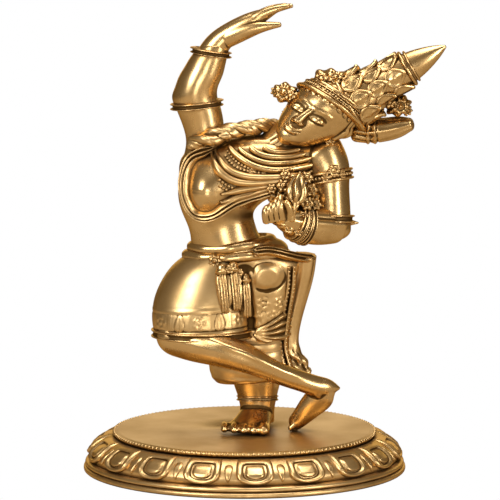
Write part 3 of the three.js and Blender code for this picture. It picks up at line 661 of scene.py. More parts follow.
# Cross-sections, as shares of a width and a thickness: two rolls and a trough, a soft band, three folds.
rolledSection = softened([
    (-0.5, -0.7), (0.5, -0.7), (0.53, 0.35), (0.48, 0.85), (0.38, 1.0), (0.28, 0.85), (0.24, 0.42), (0, 0.34),
    (-0.24, 0.42), (-0.28, 0.85), (-0.38, 1.0), (-0.48, 0.85), (-0.53, 0.35)], 1)
softSection = softened([
    (-0.5, -0.6), (0.5, -0.6), (0.5, 0.4), (0.25, 0.95), (0, 1.05), (-0.25, 0.95), (-0.5, 0.4)], 2)
foldedSection = softened([
    (-0.5, -0.6), (0.5, -0.6), (0.54, 0.25), (0.44, 0.85), (0.3, 0.9), (0.18, 0.35), (0.06, 0.4), (0.0, 0.95),
    (-0.12, 1.0), (-0.2, 0.4), (-0.3, 0.35), (-0.42, 0.9), (-0.54, 0.3)], 2)


# A strip cast on its own, closed and facing outward.
def castStrip(name, line, normals, section, loop=False, **more):
    return asClosed(addObject(name, *strip(line, normals, section, loop, **more)))


ringLift = 0.1  # mm between a limb's skin and the middle of a ring on it


# A band of a cross-section, with a row of beads along it if their radius is given as a share of the width.
def ornateBand(name, line, normals, width, thickness, loop=False, bead=0, section=rolledSection, **more):
    band = castStrip(name, line, normals, section * (width, thickness), loop, **more)
    if not bead:
        return band
    radius = bead * width
    row = beads(name + "Beads", line + normals * thickness * 0.42, radius * 2.15, radius, loop)
    return together([band, row])


# A plain ring round a limb, level where the limb is level.
def ringCast(name, node, stations, share, slope, width, thickness, **aim):
    line, normals = ringLine(stations, share, ringLift, slope, **aim)
    finishPiece(ornateBand(name, line, normals, width, thickness, True), [node])


standing = {
    "leg": [(6.4, 2.5, 3, 8.6, 7.6), (6.4, 2.5, 9, 8.6, 7.6), (6.5, 3, 16, 9.8, 8.3), (6.2, 3.5, 24, 12, 10),
            (5.5, 3.5, 36, 13.5, 11)],
    "sole": [(6.6, 10, 4.2, 6.4, 4.2), (6.2, 4, 6.6, 8.3, 6.6), (5.4, -1, 6.5, 8.6, 6.5),
             (4.2, -5.6, 5.2, 9.4, 5.2),
             (2.6, -10, 3.8, 10.8, 3.7), (1.2, -13.8, 3.0, 12.2, 2.7), (0.2, -16.5, 2.6, 12.2, 2.1)],
    "ankle": 0.37, "toes": 5, "toePitch": 4.9, "bigToe": 9.6,
}


# Across and lengthways place of a toe of the standing foot; the toes lie on a shallow curve.
def toePlace(i, start):
    return standing["bigToe"] - standing["toePitch"] * i, start + 0.27 * i * i


def makeStandingLeg():
    parts = [limb(standing["leg"], 48, 50), limb(standing["sole"], 48, 40, towards=(0, 0, 1), domes=(5, 2))]
    for i in range(standing["toes"]):
        size = 2.9 if i == 0 else 2.45 - 0.12 * i
        x, y = toePlace(i, -18.4)
        toe = [(x - 0.1, y + 6, 3.4, size * 0.9, size), (x, y + 2.5, 3.3, size * 0.86, size),
               (x, y - 0.6, 2.5, size * 1.02, size * 0.9)]
        parts.append(limb(toe, 16, 14, towards=(0, 0, 1), domes=(1, size * 0.9)))
    leg = cast("standingLegCast", parts, 0.42, 8)

    def height(p, n):
        nails = np.zeros(len(p))
        for i in range(standing["toes"]):
            x, y = toePlace(i, -19.4)
            off = np.hypot((p[:, 0] - x) / 1.25, (p[:, 1] - y) / 1.6)
            nails += np.where(n[:, 2] > 0.2, 0.12 * step(off, 1.0, 0.6) - 0.28 * bump(off - 1.05, 0.22), 0)
        heel = -0.35 * bump(p[:, 2] - 12.6, 0.7) * step(n[:, 1], 0.2, 0.8)
        return nails + heel
    restOnDeck(carve(leg, height))
    finishPiece(leg, ["standing_foot", "standing_leg"])
    ringCast("ankletCast", "anklet", standing["leg"], standing["ankle"], 0, 2.4, 0.9)


makeStandingLeg()

crossed = {
    "shin": [(-32, -8, 48, 10, 14), (-23, -14.5, 46, 9.6, 12), (-11, -20, 43.3, 8.4, 9.4),
             (0, -22, 39.8, 7.3, 8),
             (10, -21.5, 35.2, 5.9, 6.8), (20, -19, 30.4, 5.3, 6), (30, -15.5, 26.4, 5.2, 5.7),
             (36.4, -13.2, 24, 5.2, 5.4), (41, -12.2, 23.4, 4.5, 4.5), (44.8, -11.4, 22.9, 2.8, 2.8),
             (47.4, -11, 22.6, 0.9, 0.9)],
    "foot": [(41, -11.2, 21.4, 4.8, 4.8), (38.8, -10.5, 18.8, 6.6, 5.4), (33.6, -8.6, 13.4, 6.3, 5.6),
             (29, -6, 7.8, 5, 5.4), (25.4, -3.6, 3.8, 4, 5.2)],
    "toes": 5, "toePitch": 2.35, "ankleBone": ((36.6, -16.4, 20.8), (2.0, 1.3, 2.2)),
}


def makeCrossedLeg():
    parts = [limb(crossed["shin"], 48, 90, domes=(11, 0.6)), limb(crossed["foot"], 40, 50, domes=(3.4, 1.6)),
             egg(*crossed["ankleBone"])]
    for i in range(crossed["toes"]):
        y, size = -8.3 + crossed["toePitch"] * i, 1.55 - 0.09 * i
        parts.append(limb([(26.6, y, 5.2, size * 1.1, size), (24.4, y, 2.9, size, size),
                           (22.9 + 0.3 * i, y, 1.7, size, size * 0.9)], 14, 12, domes=(0.8, 1.2)))
    leg = cast("crossedLegCast", parts, 0.42, 16)

    def height(p, n):
        bone = 0.9 * bump(p[:, 2] - np.interp(p[:, 0], [-30, 0, 20, 38], [54, 43.5, 33.5, 26.5]), 1.6)
        return bone * step(-n[:, 1], 0.1, 0.7) * step(p[:, 0], -22, -8) * step(p[:, 0], 34, 22)
    restOnDeck(carve(leg, height))
    finishPiece(leg, ["crossed_shin", "crossed_foot"])


makeCrossedLeg()

cuffSizes = {
    "line": [(2.4, 2, 25.6, 17, 12.4), (2.2, 2, 29, 19.4, 13.4), (2.4, 2, 35, 20.2, 13.6),
             (3.4, 2, 44, 18.2, 13.2),
             (5, 2, 52, 16.5, 13.2)],
    "folds": 7, "foldHeight": 0.16,
}


def makeCuff():
    cuff = cast("trouserCuffCast", [limb(cuffSizes["line"], 96, 60, domes=(2.4, 0), power=2.2)], 0.55, 3)

    def height(p, n):
        a = np.arctan2(p[:, 0] - 2.4, -(p[:, 1] - 2))
        swirl = np.cos(cuffSizes["folds"] * a + 0.336 * (p[:, 2] - 30) + 1.2 * np.sin(a * 2))
        hang = np.cos((p[:, 2] - 28 + 3.2 * np.cos(a - 0.4)) * 2 * np.pi / 4.4)
        low = step(p[:, 2], 37, 27)
        edge = 0.3 * bump(p[:, 2] - 26.2, 1.0)
        return cuffSizes["foldHeight"] * (0.55 * swirl * low + 0.5 * hang * (1 - low * 0.6)) + edge
    carve(cuff, height)
    finishPiece(cuff, ["trouser_cuff"], agedBrass)


makeCuff()

skirt = {
    "pelvis": [(5, 1.5, 58, 18, 14), (2.4, 1.5, 68, 22.6, 15), (0.4, 1.5, 78, 27, 16),
               (-0.4, 1.5, 86, 29, 16),
               (-5.4, 1.5, 94, 20, 13)],
    "crossedThigh": [(-9, 1, 91, 16, 14), (-15.6, 0.5, 84, 19.5, 17), (-18.6, -1, 75, 23.2, 19),
                     (-20.6, -3, 65, 25, 20), (-21.2, -5, 55, 24.8, 19.6), (-20.9, -6.5, 47.5, 23.6, 18.2)],
    "standingThigh": [(10, 2.5, 84, 17, 15), (9, 2.5, 66, 15.8, 15), (8, 2.5, 46, 15.8, 14)],
    "waistFold": ((8.5, 1.2, 91.5), (13.5, 11.5, 6.2)),
    "bandTop": 63.4, "bandBottom": 51.6, "motifPitch": 11.5, "relief": 0.26,
    "stripes": (56.6, 53.6, 50.6, 47.6, 44.6),
}


# A small chased flower, drawn in mm across and up from its middle.
def flower(s, z, size):
    r, a = np.hypot(s, z) / size, np.arctan2(z, s)
    petals = 0.85 * bump(r - 0.72, 0.24) * (0.55 + 0.45 * np.cos(5 * a))
    return bump(r, 0.28) + petals - 0.35 * bump(r - 0.4, 0.1)


# A leaf with a midrib, its tip up.
def leaf(s, z, wide, tall):
    t = np.clip(z / tall, -1, 1)
    half = wide * np.sqrt(np.clip(1 - t**2, 0, 1)) * (1 - 0.35 * t)
    inside = step(half - np.abs(s), 0, 0.7)
    rim = 0.3 * bump(np.abs(s) - half - 0.4, 0.4) * (np.abs(z) < tall * 1.1)
    return inside * (0.8 - 0.7 * bump(s, 0.35)) - rim


def skirtRelief(p, n):
    x, y, z = p.T
    front = step(-n[:, 1], -0.15, 0.35)
    onThigh = step(x, 3.5, 0.5)
    total = np.zeros(len(p))
    # bands round the crossed thigh
    tilt = 0.045 * (x + 21)
    for level, strong in ((skirt["bandTop"], 0.16), (skirt["bandBottom"] + 0.2, 0.6)):
        up = z - level - tilt
        sides = 0.45 * bump(up + 1.5, 0.55) + 0.3 * bump(up - 1.5, 0.5)
        total += strong * onThigh * (0.6 * bump(up, 0.65) - sides)
    angle = np.arctan2(x + 21, -(y + 4))
    along = angle * 23
    cell = (along + 1.5) / skirt["motifPitch"]
    s = (cell - np.round(cell)) * skirt["motifPitch"]
    odd = np.round(cell) % 2 == 0
    middle = (skirt["bandTop"] + skirt["bandBottom"]) / 2 + tilt
    inBand = onThigh * step(np.abs(z - middle), 5.0, 4.2)
    motif = np.where(odd, flower(s, z - middle, 3.7), leaf(s, z - middle, 2.6, 4.2))
    bars = 0.35 * bump(np.abs(s) - skirt["motifPitch"] / 2 + 0.5, 0.32)
    total += inBand * skirt["relief"] * (motif + bars - 0.35)
    # the fold between the thighs, and the deep hollow under the girdle
    total -= 1.9 * front * bump(np.hypot((x - 0.2) / 1.3, z - 83.4), 3.8)
    total -= 1.3 * front * bump(x - np.interp(z, [42, 62, 84], [3.6, 3.8, 0.5]), 1.5) * step(z, 84, 78)
    # right panel: swag over a smooth field, flowers below it, then stripes
    panel = front * step(x, 4.2, 6.0)
    oval = np.hypot((x - 11.2) / 9.0, (z - 79.2) / 7.2)
    total += panel * (0.9 * step(1 - oval, 0, 0.5) - 0.2 * bump(oval - 1.04, 0.09))
    fieldS = (x - 9.6) - np.round((x - 9.6) / 8.4) * 8.4
    total += panel * skirt["relief"] * step(np.abs(z - 62.4), 7.4, 6.4) * (
        flower(fieldS, z - 65.6, 3.4) + 0.8 * flower(fieldS - 4.2 * np.sign(fieldS), z - 59.0, 3.0)
        + 0.7 * leaf(fieldS, z - 58.4, 1.7, 3.4) - 0.3)
    fan = np.clip((x - 2) / 14, 0.15, 1.2)
    lines = [z - 49 - (level - 49) * fan - 0.012 * (x - 12) ** 2 for level in skirt["stripes"]]
    stripes = sum(bump(off, 0.62) - 0.6 * bump(off - 1.35, 0.5) for off in lines)
    total += 0.75 * stripes * step(x, 3.2, 5.0) * step(z, 40, 42) * step(-n[:, 1], -0.75, -0.2)
    # pleats over the back, gathered at the waist
    back = step(n[:, 1], 0.0, 0.5)
    backAngle = np.arctan2(x - 2, y)
    pleat = np.cos(backAngle * 15 + 0.9 * np.sin(z * 0.09))
    total += back * 0.4 * pleat * step(z, 92, 84) * (1 - 0.75 * inBand) * step(x, -26, -12)
    drape = np.cos(((z - 76) + 0.022 * (x + 14) ** 2) * 2 * np.pi / 7.5)
    total += back * 0.35 * drape * step(x, 2, -12) * step(z, 66, 70) * step(z, 90, 84)
    return total


def makeSkirt():
    parts = [limb(skirt["pelvis"], 96, 60, level=True), egg(*skirt["waistFold"]),
             limb(skirt["crossedThigh"], 96, 70, level=True),
             limb(skirt["standingThigh"], 64, 30, level=True)]
    finishPiece(carve(cast("skirtCast", parts, 0.5, 9), skirtRelief), ["hips"], agedBrass)
    ringCast("skirtHemCast", "skirt_hem", skirt["crossedThigh"], 0.945, 0, 4.0, 1.6, level=True, count=160)


makeSkirt()

trunk = {
    "torso": [(-6, 1, 85, 20, 13.6), (-7.6, 1, 92, 19, 13), (-10, 0.5, 99, 17.2, 12.2), (-12, 0, 105, 17, 12),
              (-13.2, -0.5, 111, 18.2, 12.8), (-9.4, -1, 119, 23.6, 15), (-1.6, -1, 127, 31, 16.5),
              (3.6, -0.5, 134.5, 36, 15.5), (7.4, 0, 139.8, 37, 13), (8.8, 0.3, 143.4, 32.5, 11.4),
              (9.4, 0.5, 146, 25, 8.8)],
    "breasts": ((-19.4, 122.8), (8.6, 10.4), 6.4),  # middle, reach and height
    "raisedArm": [(-18.4, 1, 138, 12, 10.5), (-19.2, 1, 146, 10, 9.8), (-20.9, 1, 155, 10.5, 9.8),
                  (-22.8, 0.5, 161.8, 11.2, 10), (-24.8, 0, 168, 11.3, 10.2), (-23.9, -0.6, 173, 10.7, 9.9),
                  (-21.9, -1, 178.2, 10.8, 9.5), (-19.6, -1.2, 183.5, 10, 8.8), (-17.6, -1.6, 188.5, 9, 7.8),
                  (-14.6, -2, 194.4, 6.8, 6)],
    "elbow": 0.45, "wrist": 0.925,
    "bentArm": [(37, 0, 139, 13, 10.5), (41, -0.5, 132, 11.6, 11), (42.4, -1.5, 124, 10, 10.4),
                (43, -3, 113, 9.8, 10.2), (43, -4.8, 102, 10.2, 10.2)],
    "neck": [(18, -0.5, 140, 12, 9.5), (22, -0.5, 148, 9.6, 8.6), (27, -0.8, 154, 8.8, 8.4)],
}


def makeTorso():
    parts = [limb(trunk["torso"], 96, 80, level=True, domes=(0, 3)),
             limb(trunk["raisedArm"][:5], 56, 50, level=True, domes=(9, 0)),
             limb(trunk["bentArm"], 56, 50, domes=(7, 6)), limb(trunk["neck"], 48, 24)]
    torso = cast("torsoCast", parts, 0.5, 14)

    def height(p, n):
        x, y, z = p.T
        middle = -11.6 + 14.4 * step(z, 98, 146) - 2 * bump(z - 104, 12)
        total = 1.3 * bump(np.hypot((x + 12) / 1.5, (z - 96) / 1.1), 8) * step(-n[:, 1], 0, 0.7)
        total -= 0.5 * bump(x - middle, 3.6) * step(n[:, 1], 0.1, 0.8) * step(z, 94, 100) * step(z, 142, 132)
        blades = sum(bump(np.hypot((x - bx) / 1.5, (z - 128) / 1.9), 5.5) for bx in (-12, 22))
        total += 0.8 * blades * step(n[:, 1], 0.1, 0.7)
        (cx, cz), (rx, rz), full = trunk["breasts"]
        for side, share in ((0, 1), (41, 0.7)):
            off = np.hypot((x - cx - side) / rx, (z - cz + np.where(z > cz, 0, 1.2)) / rz)
            total += share * full * bump(off, 1.0) * step(-n[:, 1], -0.2, 0.5)
        return total
    return carve(torso, height)


torsoObject = makeTorso()
skinTree = BVHTree.FromPolygons([tuple(p) for p in pointsOf(torsoObject)],
                                [tuple(f.vertices) for f in torsoObject.data.polygons])
finishPiece(torsoObject, ["torso", "raised_upper_arm", "bent_upper_arm"])


def makeRaisedArm():
    arm = cast("raisedForearmCast", [limb(trunk["raisedArm"][3:], 64, 70, level=True)], 0.45, 6)
    arm = carve(arm, lambda p, n: 0.35 * bump(np.hypot((p[:, 0] + 26) / 1.4, (p[:, 2] - 170) / 3), 3.5))
    finishPiece(arm, ["raised_forearm"])
    ringCast("raisedArmletCast", "raised_armlet", trunk["raisedArm"], trunk["elbow"], 1.2, 3.1, 2.0,
             level=True)
    ringCast("raisedBangleCast", "raised_bangle", trunk["raisedArm"], trunk["wrist"], -1.5, 2.8, 2.0,
             level=True)


makeRaisedArm()

hand = {
    "palm": [(-17.4, -1.6, 185.5, 8.0, 7.0), (-16.0, -1.8, 189.6, 7.4, 6.4), (-13.2, -2, 194.6, 6.4, 5.8),
             (-8.4, -2.2, 199.1, 5.6, 5.4), (-2, -2.6, 203.3, 5.0, 5.3), (4, -3, 206.6, 4.3, 5.0),
             (10, -3.2, 209.4, 3.1, 4.2), (15, -3.2, 211.4, 1.6, 3.0)],
    "fingerSpread": (-6.3, -4.2, -2.1, -0.1), "fingerReach": (0.93, 1.0, 0.98, 0.88),
    "thumb": [(-9, -3.6, 197.6, 5.0, 4.2), (-1, -5.2, 201.0, 4.5, 4.0), (6, -6.4, 203.2, 3.4, 3.2),
              (12, -7, 204.2, 2.2, 2.2), (17.6, -7, 204.8, 1.3, 1.3)],
}


def makeRaisedHand():
    parts = [limb(hand["palm"], 40, 40, domes=(1, 2)), limb(hand["thumb"], 24, 30, domes=(2, 0.8))]
    for y, reach in zip(hand["fingerSpread"], hand["fingerReach"]):
        finger = [(0, y * 0.8, 205.2, 2.4, 1.5), (6, y, 208.4, 2.4, 1.45),
                  (11.5 * reach, y, 210.7, 2.1, 1.35),
                  (17.6 * reach, y * 0.95, 212.7, 1.7, 1.3), (23.6 * reach, y * 0.8 - 0.4, 213.9, 1.1, 0.95)]
        parts.append(limb(finger, 16, 30, domes=(1, 0.6)))
    finishPiece(cast("raisedHandCast", parts, 0.33, 6), ["raised_hand"])


makeRaisedHand()

bent = {
    "forearm": [(43.6, -6, 104.6, 9.6, 9.3), (37, -12, 104.6, 9.4, 8.2), (30, -17, 105.8, 8.8, 7.4),
                (24.4, -21, 108.2, 7.6, 6.8), (19.5, -24, 110.8, 6.2, 5.8)],
    "tips": [((52, -4, 105.4), (56.6, -4.4, 105.2))],
    "armlet": 0.32, "elbow": 0.88,
    "armletFlowers": (71, 78, 85),  # their places along the armlet's line
    "flowers": [(22, -28, 105.4, 2.6), (27.4, -25.2, 105.0, 3.0), (19.5, -28.6, 109, 2.3)],
    "bracelet": [("braceletCast", 0.56, 2.6, 0), ("braceletRow", 0.66, 3.2, 0.2),
                 ("braceletRow", 0.75, 2.6, 0)],
}


def makeBentArm():
    arm = cast("bentForearmCast", [limb(bent["forearm"], 56, 60, domes=(5, 2))], 0.45, 6)

    def height(p, n):
        up = p[:, 2] + 0.16 * (p[:, 0] - 30)
        ridge = 0.5 * bump(up - 108.5, 1.3) * step(p[:, 0], 20, 26)
        return ridge - 0.5 * bump(up - 111, 0.8) * step(p[:, 0], 24, 30)
    finishPiece(carve(arm, height), ["bent_forearm"])
    line, normals = ringLine(trunk["bentArm"], bent["armlet"], ringLift, 0.4)
    pieces = [ornateBand("bentArmletCast", line, normals, 5.6, 1.9, True, 0.16)]
    for at, rise, size in zip(bent["armletFlowers"], (0, 2.6, 0), (2.4, 3.4, 2.4)):
        pieces.append(rosette("armletFlower", line[at] + normals[at] * 1.1 + [0, 0, rise], normals[at],
                              size, 6))
    finishPiece(together(pieces), ["bent_armlet"])
    line, normals = ringLine(trunk["bentArm"], bent["elbow"], ringLift, 0.6)
    band = ornateBand("bentElbowBandCast", line, normals, 4.0, 2.0, True)
    knot = [asClosed(addObject("bandKnot",
                               *limb([(*root, 1.9, 2.4), (*end, 0.5, 0.6)], 20, 12, domes=(1, 0.4))))
            for root, end in bent["tips"]]
    finishPiece(together([band, *knot]), ["bent_elbow_band"])
    rows = []
    for name, share, width, bead in bent["bracelet"]:
        rows.append(ornateBand(name, *ringLine(bent["forearm"], share, 0.05), width, 1.5, True, bead))
    rows += rosettes("braceletFlower", bent["flowers"], (0, -1, 0.1), 5)
    finishPiece(together(rows), ["bracelet"])


# Hoops of a small flower, from its rim to its boss, as shares of its radius.
rosetteShares = (1.0, 0.97, 0.88, 0.76, 0.62, 0.5, 0.42, 0.34, 0.24, 0.12)


# A small cast flower: petals round a boss, facing a direction.
def rosette(name, centre, facing, radius, petals=6, height=0.42):
    around = petals * 8
    angle = fullTurn(around)
    lobes = 0.5 + 0.5 * np.cos(petals * angle)
    rows = []
    for share in rosetteShares:
        reach = radius * share * (1 - 0.26 * (1 - lobes) * step(share, 0.35, 0.95))
        petal = 0.62 * bump(share - 0.68, 0.26) * (0.45 + 0.55 * lobes)
        lift = radius * height * (petal + 0.95 * bump(share, 0.3))
        rows.append(np.stack([reach * np.cos(angle), reach * np.sin(angle), lift - 0.1 * radius], -1))
    rows[0][:, 2] = -0.55 * radius
    points = np.concatenate([*rows, [[0, 0, -0.55 * radius], [0, 0, radius * height * 0.95]]])
    turn = np.array(Vector(facing).to_track_quat("Z", "Y").to_matrix())
    return asClosed(addObject(name, points @ turn.T + np.array(centre, float), skinFaces(len(rows), around)))


def rosettes(name, places, facing, petals, height=0.42):
    return [rosette(name, (x, y, z), facing, radius, petals, height) for x, y, z, radius in places]


makeBentArm()


fist = {
    "palm": [((17.6, -25.4, 112.6), (5.8, 5.0, 6.2)), ((20.5, -23, 111), (6, 5, 6))],
    "thumb": [(22, -27, 110, 2.2, 2.2), (22.6, -29.6, 115, 2, 2), (20.6, -31, 119.4, 1.5, 1.5)],
}


def makeBentHand():
    parts = [egg(*lump) for lump in fist["palm"]]
    for i in range(4):
        parts.append(limb([
            (18.6 - 2.5 * i, -28.2, 110.9 - 0.5 * i, 2.2, 2.3),
            (17.9 - 2.5 * i, -29.8, 115.4 - 0.7 * i, 2.0, 2.1),
            (17.5 - 2.3 * i, -29.6, 119.0 - 1.2 * i, 1.8, 1.85),
            (17.7 - 2.1 * i, -27.6, 121.5 - 1.7 * i, 1.4, 1.5)],
            18, 26, domes=(1, 0.9)))
    parts.append(limb(fist["thumb"], 18, 20, domes=(1, 1.2)))
    finishPiece(cast("bentHandCast", parts, 0.36, 4), ["bent_hand"])


makeBentHand()


# Lays places [x, z] of the front on the chest, lifted off it, as a line with its normals.
def drape(places, lift, count, softness=6):
    line, normals = [], []
    for x, _, z in lineThrough([(x, 0, z) for x, z in places], count):
        hit, normal, _, _ = skinTree.ray_cast(Vector((x, -90, z)), Vector((0, 1, 0)))
        if hit is None:
            hit, normal, _, _ = skinTree.find_nearest(Vector((x, -8, z)))
        line.append(hit)
        normals.append(normal)
    line, normals = np.array(line), np.array(normals)
    for _ in range(softness):
        line[1:-1] = (line[:-2] + line[1:-1] * 2 + line[2:]) / 4
        normals[1:-1] = (normals[:-2] + normals[1:-1] * 2 + normals[2:]) / 4
    return line + unit(normals) * lift, unit(normals)


# Ends of a band sink and narrow.
def tapered(count, ends=0.08, least=0.35):
    t = np.linspace(0, 1, count)
    return least + (1 - least) * step(np.minimum(t, 1 - t), 0, ends)


shawl = {
    "loop": [(-16, 143.2), (-22, 140.8), (-26.6, 136.4), (-28.8, 129), (-28.6, 120.4), (-25.6, 113.2),
             (-20.4, 110.2), (-13.4, 113.0), (-6.5, 117.4), (4, 121.4), (17, 125.2), (30.4, 129.6)],
    "folds": [
        [(-14.6, 142.4), (-9.8, 134.6), (-1, 130.6), (12, 129.8), (26, 130.8), (34, 132.4)],
        [(-16.6, 141.8), (-13.6, 134), (-6.2, 128.4), (6, 127.2), (20, 128.6), (33, 131)],
        [(-11.8, 121.6), (-3, 123.6), (8, 125.4), (20, 127.2), (32, 130.2)],
        [(-12.2, 117.6), (-4, 120.0), (6, 122.8), (18, 125.6), (31, 129.0)],
    ],
    # fine beadwork between the loop and the upper folds
    "beadwork": [
        [(-9.4, 139.8), (-5.6, 135.6), (0.6, 133), (9, 131.8)],
        [(-8.2, 142), (-4.6, 137.6), (1.4, 134.4), (9, 133)],
        [(-12.8, 131.6), (-8.2, 128.0), (-2, 125.8), (6, 125.4)],
        [(-12.4, 128.6), (-8, 125.6), (-2.5, 124.2), (3, 124.0)],
        [(-12, 125.6), (-8, 123.4), (-4, 122.6)],
    ],
    "loopWidth": 5.4, "foldWidth": 3.8, "lift": 3.0, "beadPitch": 1.75, "beadRadius": 0.85,
}


def makeShawl():
    line, normals = drape(shawl["loop"], 0.9, 220, softness=60)
    wave = 1 + 0.06 * np.sin(np.linspace(0, 60, 220))
    pieces = [ornateBand("shawlCast", line, normals, shawl["loopWidth"], shawl["lift"], section=foldedSection,
                         spread=tapered(220, 0.06, 0.5) * wave, rise=tapered(220, 0.05, 0.5))]
    for i, fold in enumerate(shawl["folds"]):
        line, normals = drape(fold, 0.55, 130, softness=10)
        pieces.append(ornateBand("shawlFold", line, normals, shawl["foldWidth"] + 0.4 * (i % 2), 1.7,
                                 section=softSection, spread=tapered(130, 0.2, 0.35),
                                 rise=tapered(130, 0.12, 0.4) * 1.4))
    for places in shawl["beadwork"]:
        line, _ = drape(places, 0.45, 60)
        pieces.append(beads("shawlBeads", line, shawl["beadPitch"], shawl["beadRadius"]))
    finishPiece(together(pieces), ["shawl"], agedBrass)


makeShawl()

chains = {
    "necklace": [[(-7.4, 143.4), (-3.2, 139.4), (2.4, 136.0), (10.6, 133.6), (21, 133.4), (33, 135.6)],
                 [(-2.6, 143.0), (2.2, 139.4), (8.6, 136.8), (16, 136.0), (24, 136.6), (32.6, 138.6)]],
    "collar": [[(3.0, 143.4), (7.8, 140.4), (14.4, 138.9), (22, 138.9), (29.6, 140.4)],
               [(9.4, 143.6), (14, 141.6), (19.8, 141.2), (27, 142.2)]],
    "drops": [(3.6, 132.6), (9.8, 130.9), (16, 130.4), (22.2, 130.9)], "dropRadius": 1.7,
}


def makeChains():
    for name, node in (("necklaceCast", "necklace"), ("collarCast", "collar")):
        pieces = []
        for i, places in enumerate(chains[node]):
            line, normals = drape(places, 0.5, 120)
            pieces.append(ornateBand(name if i == 0 else name + "Row", line, normals, 3.5 - 0.5 * i, 2.3,
                                     section=softSection, spread=tapered(120, 0.05, 0.7)))
        for x, z in chains["drops"] if node == "necklace" else ():
            line, normals = drape([(x, z), (x + 0.1, z - 0.4)], 0.9, 4)
            pieces.append(rosette("necklaceDrop", line[0], normals[0], chains["dropRadius"], 5))
        finishPiece(together(pieces), [node])


makeChains()

scarf = {
    "line": [(-26.4, -7.5, 144.4, 2.9, 3.2), (-22.4, -9.4, 146.8, 3.5, 3.8), (-16, -9.8, 149.4, 3.9, 4),
             (-8.6, -8.4, 151.6, 3.8, 3.9), (1, -5.6, 152.8, 3.7, 4), (9, -1, 153.2, 3.8, 4.2),
             (15, 4, 152.4, 3.8, 4.4)],
    "frontRoll": [(-27, -8.6, 146.6, 2.2, 2.2), (-20.4, -13.2, 147.6, 2.8, 2.4),
                  (-14, -13.6, 148.4, 2.6, 2.4),
                  (-8, -11.6, 149.6, 2.0, 2.0)],
    "twists": 5,
}


def makeScarf():
    parts = [limb(scarf["line"], 40, 80, domes=(2, 3)), limb(scarf["frontRoll"], 24, 40, domes=(1.5, 1.5))]
    roll = cast("shoulderScarfCast", parts, 0.42, 3)
    line = lineThrough(scarf["line"], 90)[:, :3]

    def height(p, n):
        _, share, away = nearLine(p, line)
        a = np.arctan2(away[:, 2], -away[:, 1])
        strands = 0.55 * np.cos(3 * a + scarf["twists"] * 2 * np.pi * share)
        return strands - 0.5 * bump(np.sin(2 * a + 30 * share), 0.3)
    finishPiece(carve(roll, height), ["shoulder_scarf"], agedBrass)


makeScarf()

bud = {
    "line": [(23.4, -28.5, 110, 1.5, 1.5), (24.2, -28.6, 114.6, 1.6, 1.6), (25, -27.6, 118.4, 2.8, 2.6),
             (25.8, -26.2, 122.2, 4.9, 4.0), (26.4, -25.2, 126.4, 4.7, 3.8), (27, -24.6, 130, 2.8, 2.5),
             (27.4, -24.2, 133, 0.9, 0.9)],
    # leafy casting behind the bud, filling the crook of the arm
    "crook": [(14, -12.5, 121, 4.4, 5.4), (20, -14, 120, 6, 8), (27, -13.5, 119, 6.4, 8.6),
              (33, -11, 118, 5.4, 7)],
    "flowers": [(19.4, -22.5, 126.4, 3.8), (31, -22.5, 130.5, 3.4), (33, -21, 124, 3.8),
                (20.4, -22, 132, 3.0),
                (31, -23.4, 117.5, 3.7), (29, -25, 111.4, 3.3), (35.6, -19.5, 116.4, 3.0),
                (26.6, -26.6, 104, 2.6),
                (34.6, -19.4, 110.4, 2.7), (13.6, -21, 124.6, 2.8)],
    "sepals": 5,
}


def makeBud():
    flowerBud = cast("lotusBudCast", [limb(bud["line"], 48, 70, domes=(1, 0.8))], 0.33, 3)
    line = lineThrough(bud["line"], 90)[:, :3]

    def height(p, n):
        _, share, away = nearLine(p, line)
        turns = bud["sepals"] * np.arctan2(away[:, 0], -away[:, 1])
        sepals = np.cos(turns + 2.2 * step(share, 0.5, 0.9))
        return (0.55 * sepals * step(share, 0.3, 0.45) * step(share, 1.0, 0.85)
                - 0.5 * bump(share - 0.33 - 0.03 * np.cos(turns), 0.02))
    crook = cast("crookCast", [limb(bud["crook"], 40, 40, domes=(3, 3))], 0.4, 3)

    def leafage(p, n):
        x, _, z = p.T
        return 0.7 * np.cos(x * 1.6 + 0.6 * z) * np.cos(z * 1.3 - 0.5 * x)
    carve(crook, leafage)
    flowers = rosettes("budFlower", bud["flowers"], (0.1, -1, 0.15), 6, 0.5)
    finishPiece(together([carve(flowerBud, height), crook, *flowers]), ["lotus_bud"])


makeBud()

girdle = {
    # name, middle, reach across and deep, size, depth of the twist, height over the hip
    "rolls": [
        ("girdleCast", (-6.4, 1.4), (19.2, 12.8), 3.1, 0.1, lambda x: 92.4 + 0.13 * np.maximum(x + 14, 0)),
        ("girdleRoll", (-4.2, 1.4), (24.2, 14.4), 2.9, 0.1,
         lambda x: 88.4 + 0.11 * np.maximum(x + 8, 0) - 0.006 * np.maximum(x, 0) ** 2),
        ("girdleRoll", (-4.5, 1.5), (22.8, 13.9), 1.4, 0, lambda x: 90.6 + 0.12 * np.maximum(x + 12, 0))],
    "twist": 12.5,
    # a cloth fold running from the girdle to the corner of the hip
    "fold": [(4, -14.6, 91.6), (12, -14.2, 92.4), (20, -11.6, 90.4), (28, -6.5, 88), (34, -0.5, 86.6)],
    "hip": (6, 4, 84),
}


